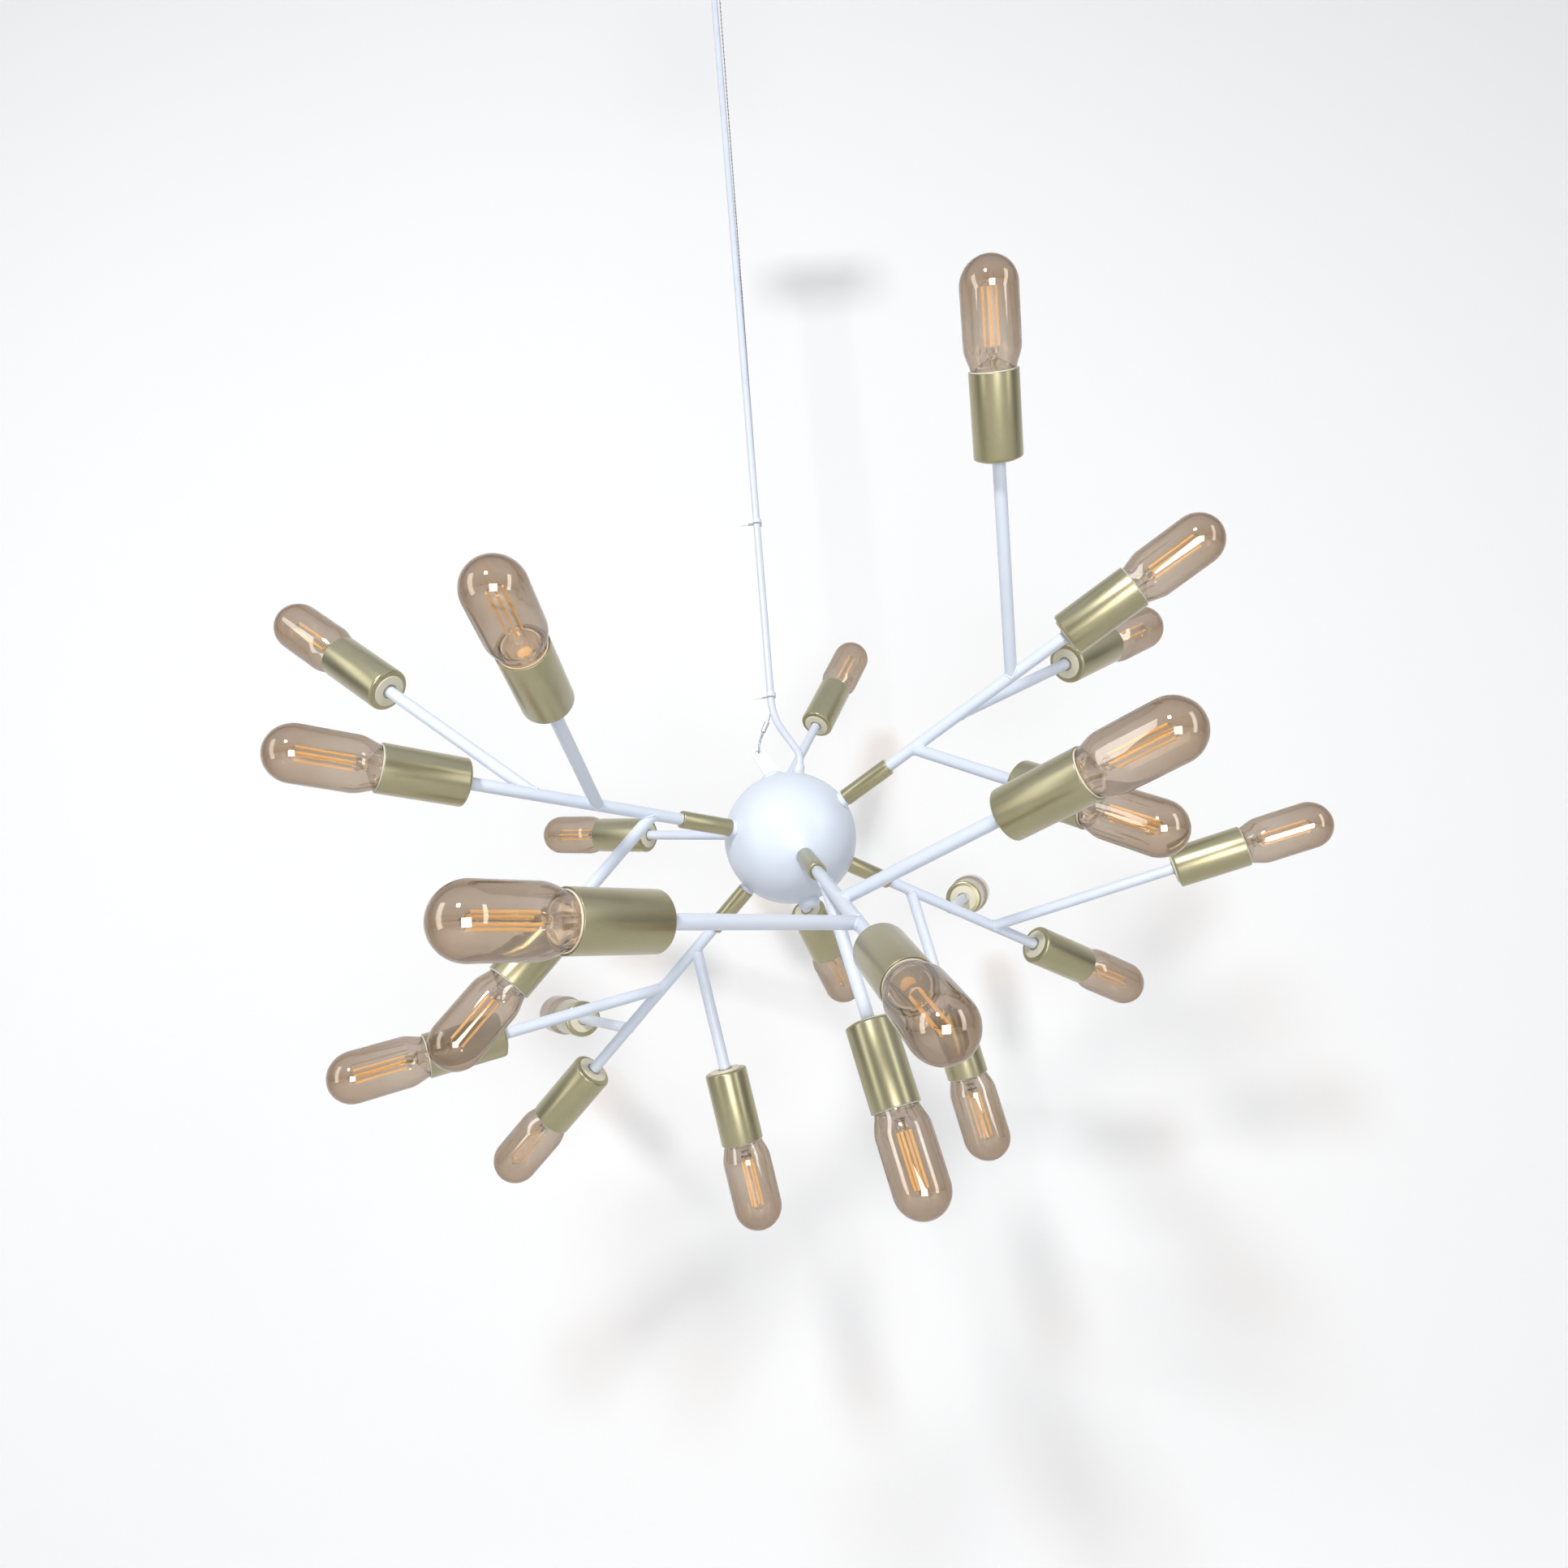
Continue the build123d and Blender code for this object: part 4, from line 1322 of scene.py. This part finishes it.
    def tab_shape(self) -> bmesh.types.BMesh:
        """The flat tab with its eye, and its round foot on the ball."""
        curve = bpy.data.curves.new("tab_line", "CURVE")
        curve.dimensions = "2D"
        curve.fill_mode = "BOTH"
        eye = Vector((self.tab_lean, self.tab_height))
        hole = [eye + point / MM for point in ring_outline(self.tab_hole * MM, 32)]
        for points in (self.tab_outline(), hole):
            spline = curve.splines.new("POLY")
            spline.points.add(len(points) - 1)
            for target, point in zip(spline.points, points):
                target.co = (point.x * MM, point.y * MM, 0, 1)
            spline.use_cyclic_u = True
        curve.bevel_depth = 0.25 * MM
        curve.bevel_resolution = 2
        curve.extrude = self.tab_thickness / 2 * MM - curve.bevel_depth
        curve.offset = -curve.bevel_depth
        plate = worked(linked("tab_bench", curve))
        bmesh.ops.remove_doubles(plate, verts=plate.verts, dist=1e-6)
        foot = [
            (0.0, -1.6, 0.0),
            (self.tab_foot, -1.0, 0.2),
            (self.tab_foot, 1.2, 0.7),
            (self.tab_foot - 2.2, 2.2, 1.0),
            (0.0, 2.2, 0.0),
        ]
        top = Matrix.Translation((0, 0, self.radius * MM))
        upright = top @ Matrix.Rotation(math.radians(90), 4, "X")
        return gather([(plate, upright), (spun(foot, 4, 48), top)])

    def fit_trim(self, gland_axis: Vector) -> None:
        """Tab, finial and gland.

        Args:
            gland_axis: Direction in which the flex leaves the ball.
        """
        tab = piece("hanger_eye_tab", copies(self.tab_shape(), [self.hang]), self.finishes.paint)
        settle(tab, "hub", "white_paint", "hanger_tab")
        low = -self.radius - self.finial_height
        finial = [
            (0.0, low, 0.0),
            (self.finial_radius - 2.0, low, 1.6),
            (self.finial_radius, low + self.finial_height * 0.55, 1.2),
            (self.finial_radius - 0.7, -self.radius + 0.7, 0.3),
            (0.0, -self.radius + 0.7, 0.0),
        ]
        knob = piece("ball_finial", copies(spun(finial, 6, 64), [self.hang]), self.finishes.paint)
        settle(knob, "hub", "white_paint", "bottom_finial")
        gland = [
            (0.0, self.radius - 4.0, 0.0),
            (self.gland_foot, self.radius - 4.0, 0.0),
            (self.gland_foot, self.radius + 1.4, 0.4),
            (self.gland_tip + 0.2, self.radius + 2.2, 0.4),
            (self.gland_tip, self.radius + self.gland_height, 0.7),
            (0.0, self.radius + self.gland_height, 0.0),
        ]
        nub = copies(spun(gland, 4, 40), [frame_at(self.centre, gland_axis)])
        settle(piece("flex_nub", nub, self.finishes.nylon), "hub", "white_plastic", "flex_gland")


# ---------------------------------------------------------------- suspension
@dataclass
class Suspension:
    """The steel wire, the flex and the ties between them. Points in millimetres."""

    finishes: Finishes
    flex_points: tuple[Corner, ...] = (
        (14.45, 1.73, -683.99),
        (15.66, 1.95, -678.12),
        (11.6, 1.4, -670.8),
        (6.6, 0.8, -663.2),
        (2.1, 0.2, -654.8),
        (0.0, 0.0, -645.0),
        (0.0, 0.0, -635.0),
        (0.0, 0.0, -12.0),
    )
    wire_points: tuple[Corner, ...] = (
        (4.5, 3.0, -13.8),
        (1.13, 3.39, -623.0),
        (1.0, 3.4, -646.0),
        (-9.17, 2.3, -666.64),
        (-10.27, 2.2, -674.64),
        (-10.27, -2.2, -674.64),
        (-9.17, -2.2, -666.14),
        (-5.07, 1.1, -658.04),
    )
    flex_radius: float = 2.3
    groove: float = 0.14
    wire_radius: float = 0.5
    strands: int = 6
    strand_dip: float = 0.1
    cord_sharp: float = 60.0
    wire_lay: float = 9.0
    flex_length: float = 0.676
    wire_length: float = 0.684

    def line(self, name: str, points: Sequence[Corner], steps: int) -> list[Vector]:
        """The smooth line that a cord follows.

        Args:
            name: A name for the working curve.
            points: Control points in millimetres.
            steps: Steps in each span of the curve.

        Returns:
            Points along the smooth line, in metres.
        """
        curve = bpy.data.curves.new(name, "CURVE")
        curve.dimensions = "3D"
        curve.resolution_u = steps
        spline = curve.splines.new("NURBS")
        spline.points.add(len(points) - 1)
        for target, point in zip(spline.points, points):
            target.co = (*(Vector(point) * MM), 1)
        spline.order_u = 3
        spline.use_endpoint_u = True
        shape = worked(linked(name, curve))
        return [vertex.co.copy() for vertex in shape.verts]

    def fit_cords(self) -> None:
        """The flex and the wire, swept along their lines."""
        flex_line = self.line("flex_line", self.flex_points, 16)
        twin = wavy_outline(self.flex_radius * MM, 2, self.groove, 28)
        flex = piece("supply_flex_twin", sweep(flex_line, twin), self.finishes.sheath, self.cord_sharp)
        settle(flex, "hub", "white_flex", "supply_flex")
        wire_line = self.line("wire_line", self.wire_points, 256)
        round_rope = wavy_outline(self.wire_radius * MM, self.strands, self.strand_dip, self.strands * 4)
        rope = sweep(wire_line, round_rope, lay=self.wire_lay * MM)
        wire = piece("steel_wire", rope, self.finishes.steel, self.cord_sharp)
        settle(wire, "hub", "steel_wire", "suspension_wire")


# ---------------------------------------------------------------- ceiling fitting
@dataclass
class CeilingFitting:
    """Canopy and outlet, and the finishes of the parts behind them. Sizes in millimetres."""

    finishes: Finishes
    radius: float = 45.0
    depth: float = 25.0
    wall: float = 1.2
    edge: float = 4.0
    outlet_bore: float = 7.05
    screw_radius: float = 2.0
    screw_shank: float = 9.0
    head_radius: float = 4.0
    head_height: float = 2.5
    slot_width: float = 1.0
    slot_reach: float = 2.2
    slot_depth: float = 1.1
    slot_turn: float = 35.0

    def fit_canopy(self) -> None:
        """The round cover against the ceiling."""
        inside = self.radius - self.wall
        section = [
            (self.outlet_bore, -self.depth, 0.0),
            (self.radius, -self.depth, self.edge),
            (self.radius, 0.0, 0.3),
            (inside, 0.0, 0.3),
            (inside, -self.depth + self.wall, self.edge - self.wall),
            (self.outlet_bore, -self.depth + self.wall, 0.0),
        ]
        cover = piece("canopy_cover", spun(section, 10, 128, closed=True), self.finishes.paint)
        settle(cover, "hub", "white_paint", "ceiling_canopy")

    def fit_screws(self) -> None:
        """The two side screws: a shank and a domed head with a slot across it."""
        low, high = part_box("canopy_screws")
        level = (low[2] + high[2]) / 2
        head = [
            (0.0, -self.screw_shank, 0.0),
            (self.screw_radius, -self.screw_shank, 0.3),
            (self.screw_radius, 0.0, 0.0),
            (self.head_radius, 0.0, 0.2),
            (self.head_radius, self.head_height * 0.5, 0.9),
            (self.head_radius - 1.6, self.head_height, 1.2),
            (0.0, self.head_height, 0.0),
        ]
        shape = spun(head, 4, 32)
        slot = bmesh.new()
        bmesh.ops.create_cube(slot, size=1.0)
        size = Vector((self.slot_width, self.slot_reach * self.head_radius, 2 * self.slot_depth)) * MM
        lift = Vector((0, 0, self.head_height * MM))
        for vertex in slot.verts:
            vertex.co = Vector(a * b for a, b in zip(vertex.co, size)) + lift
        cut = self.cut(shape, slot)
        start = (high[0] - low[0]) / 2 - self.head_height * MM
        places = []
        for side in (1, -1):
            spot, outward = Vector((side * start, 0, level)), Vector((side, 0, 0))
            places.append(frame_at(spot, outward, self.slot_turn * side))
        screws = piece("canopy_side_screws", copies(cut, places), self.finishes.zinc)
        settle(screws, "hub", "zinc_steel", "canopy_screws")

    @staticmethod
    def cut(body: bmesh.types.BMesh, tool: bmesh.types.BMesh) -> bmesh.types.BMesh:
        """Take one shape out of another.

        Args:
            body: What is cut.
            tool: What is taken away.

        Returns:
            The cut shape.
        """
        things = []
        for name, shape in (("cut_body", body), ("cut_tool", tool)):
            mesh = bpy.data.meshes.new(name)
            shape.to_mesh(mesh)
            things.append(linked(name, mesh))
        modifier = things[0].modifiers.new("cut", "BOOLEAN")
        modifier.operation = "DIFFERENCE"
        modifier.object = things[1]
        result = worked(things[0])
        bpy.data.objects.remove(things[1])
        return result

    def dress_nodes(self) -> None:
        """Give the CAD nodes that stay their finishes."""
        looks = {
            "ceiling_bracket": self.finishes.zinc,
            "canopy_outlet": self.finishes.nylon,
            "terminal_block": self.finishes.nylon,
            "wire_ferrules": self.finishes.crimp,
            "flex_ties": self.finishes.nylon,
            "hub_middle_rod": self.finishes.zinc,
            "hub_connector": self.finishes.nylon,
        }
        for name, material in looks.items():
            thing = frame["nodes"][name]
            for slot in thing.material_slots:
                slot.material = material
            LOG.info("%s dressed", name)


# ---------------------------------------------------------------- studio
@dataclass(frozen=True)
class SoftBox:
    """One soft light: its middle, its width and height, and its power in watts."""

    name: str
    place: Corner
    size: tuple[float, float]
    power: float

    def stand(self, target: Corner) -> None:
        """Stand the light in its place and aim it.

        Args:
            target: What it is aimed at.
        """
        light = bpy.data.lights.new(self.name, "AREA")
        light.shape = "RECTANGLE"
        light.size, light.size_y = self.size
        light.energy = self.power
        aim = (Vector(target) - Vector(self.place)).to_track_quat("-Z", "Y")
        linked(self.name, light).matrix_world = Matrix.Translation(self.place) @ aim.to_matrix().to_4x4()


@dataclass
class Studio:
    """Camera, soft light, and the plain wall and floor. Lengths in metres."""

    eye: Vector = field(default_factory=lambda: Vector((0.0038, -0.6821, -0.8750)))
    right: Vector = field(default_factory=lambda: Vector((0.9966, 0.0209, -0.0795)))
    forward: Vector = field(default_factory=lambda: Vector((0.0, 0.9672, 0.2540)))
    lens: float = 26.31
    sensor: float = 36.0
    wall_distance: float = 0.37
    floor_level: float = -1.5
    cove: float = 0.3
    span: float = 5.0
    rise: float = 4.0
    backdrop_glow: float = 0.55
    room_light: float = 0.17
    room_shine: float = 0.9
    ball: Corner = (0.0, 0.0, -0.73)
    lights: tuple[SoftBox, ...] = (
        SoftBox("key", (-0.4, -1.7, 0.15), (0.24, 0.24), 23.0),
        SoftBox("fill", (0.15, -1.5, -1.1), (0.6, 0.6), 8.0),
        SoftBox("left_strip", (-1.5, -0.9, -0.5), (0.5, 1.6), 6.0),
        SoftBox("right_strip", (1.5, -1.1, -0.5), (0.4, 1.6), 6.0),
    )

    def set_camera(self) -> None:
        """Stand the camera where the photograph was taken."""
        camera = bpy.data.cameras.new("camera")
        camera.lens = self.lens
        camera.sensor_width = self.sensor
        camera.sensor_fit = "HORIZONTAL"
        thing = linked("camera", camera)
        back = -self.forward.normalized()
        side = (self.right - back * self.right.dot(back)).normalized()
        up = back.cross(side)
        thing.matrix_world = Matrix.Translation(self.eye) @ Matrix((side, up, back)).transposed().to_4x4()
        bpy.context.scene.camera = thing

    def backdrop_material(self) -> bpy.types.Material:
        """Plain white paper, lifted where the camera, glass and metal see it, and clear from behind."""
        paint = Paint("backdrop")
        height = (paint.part("Z", "Object") - self.floor_level) * (1.0 / self.cove)
        colour = paint.ramp(height, ((0.0, srgb(186, 187, 189)), (1.0, srgb(209, 209, 209))))
        paper = paint.surface({"Base Color": colour, "Roughness": 0.9, "Specular IOR Level": 0.1})
        path = paint.node("ShaderNodeLightPath")
        unseen = 1.0 - paint.signal(path, "Is Camera Ray")
        for ray in ("Is Transmission Ray", "Is Glossy Ray"):
            unseen = unseen * (1.0 - paint.signal(path, ray))
        seen = 1.0 - unseen
        lift = paint.ramp(height, ((0.0, srgb(255, 255, 255)), (1.0, srgb(212, 212, 212))))
        glow = paint.node("ShaderNodeEmission", None, {"Color": lift, "Strength": seen * self.backdrop_glow})
        lit = paint.node("ShaderNodeAddShader", None, {0: paint.signal(paper), 1: paint.signal(glow)})
        behind = paint.signal(paint.node("ShaderNodeNewGeometry"), "Backfacing")
        return paint.finish(paint.mixed(behind, lit, paint.node("ShaderNodeBsdfTransparent")))

    def build_backdrop(self) -> None:
        """Wall and floor joined by a cove."""
        line = [Vector((0, -self.span, self.floor_level))]
        start, top, steps = self.wall_distance - self.cove, self.floor_level + self.cove, 16
        for step in range(steps + 1):
            angle = math.pi / 2 * step / steps
            line.append(Vector((0, start + self.cove * math.sin(angle), top - self.cove * math.cos(angle))))
        line.append(Vector((0, self.wall_distance, self.rise)))
        shape = bmesh.new()
        sides = [[shape.verts.new((x, p.y, p.z)) for p in line] for x in (-self.span, self.span)]
        for k in range(len(line) - 1):
            face = shape.faces.new((sides[0][k], sides[1][k], sides[1][k + 1], sides[0][k + 1]))
            face.smooth = True
        piece("backdrop", shape, self.backdrop_material())

    def room(self) -> bpy.types.World:
        """The room: dim for light, white behind the object, and brighter above than below in reflections."""
        sky = Sky("room")
        path = sky.node("ShaderNodeLightPath")
        through = sky.signal(path, "Is Transmission Ray")
        mirrored = sky.signal(path, "Is Glossy Ray") * (1.0 - through)
        white = 1.0 - (1.0 - sky.signal(path, "Is Camera Ray")) * (1.0 - through)
        stops = ((0.0, (0.0, 0.0, 0.0)), (0.45, (0.05, 0.05, 0.05)), (0.8, (1.0, 1.0, 1.0)))
        above = sky.ramp(sky.part("Z", "Generated") * 0.5 + 0.5, stops)
        strength = self.room_light + white * (1.0 - self.room_light) + mirrored * above * self.room_shine
        colour = sky.blend(white, srgb(232, 239, 252), (1.0, 1.0, 1.0))
        return sky.finish(sky.node("ShaderNodeBackground", None, {"Color": colour, "Strength": strength}))

    def light(self) -> None:
        """Plain soft light: a key from the upper left, a fill, two tall strips and the room."""
        for box in self.lights:
            box.stand(self.ball)
        bpy.context.scene.world = self.room()
        bpy.context.scene.view_settings.view_transform = "Standard"


def gland_axis(centre: Vector, mouth: Corner) -> Vector:
    """Direction from the ball's centre to the flex's mouth."""
    return (Vector(mouth) * MM - centre).normalized()


def main() -> None:
    """Build the camera, the cords and then every sub-assembly."""
    logging.basicConfig(level=logging.INFO, format="%(name)s: %(message)s")
    finishes = Finishes()
    studio = Studio()
    studio.set_camera()
    suspension = Suspension(finishes)
    suspension.fit_cords()
    plans = arm_plans()
    hub = Hub(finishes, plans[0].line.origin)
    hub.fit_shells()
    hub.fit_couplings(plans)
    hub.fit_trim(gland_axis(hub.centre, suspension.flex_points[0]))
    arm, cup, lamp = Arm(finishes), Cup(finishes), Lamp(finishes)
    lamp.build()
    for row, plan in enumerate(plans):
        arm.fit(plan)
        cup.fit(plan)
        for column, spot in enumerate(Spot):
            lamp.fit(plan, spot, turn=17.0 * row + 29.0 * column)
    fitting = CeilingFitting(finishes)
    fitting.fit_canopy()
    fitting.fit_screws()
    fitting.dress_nodes()
    studio.build_backdrop()
    studio.light()


if __name__ == "__main__":
    main()
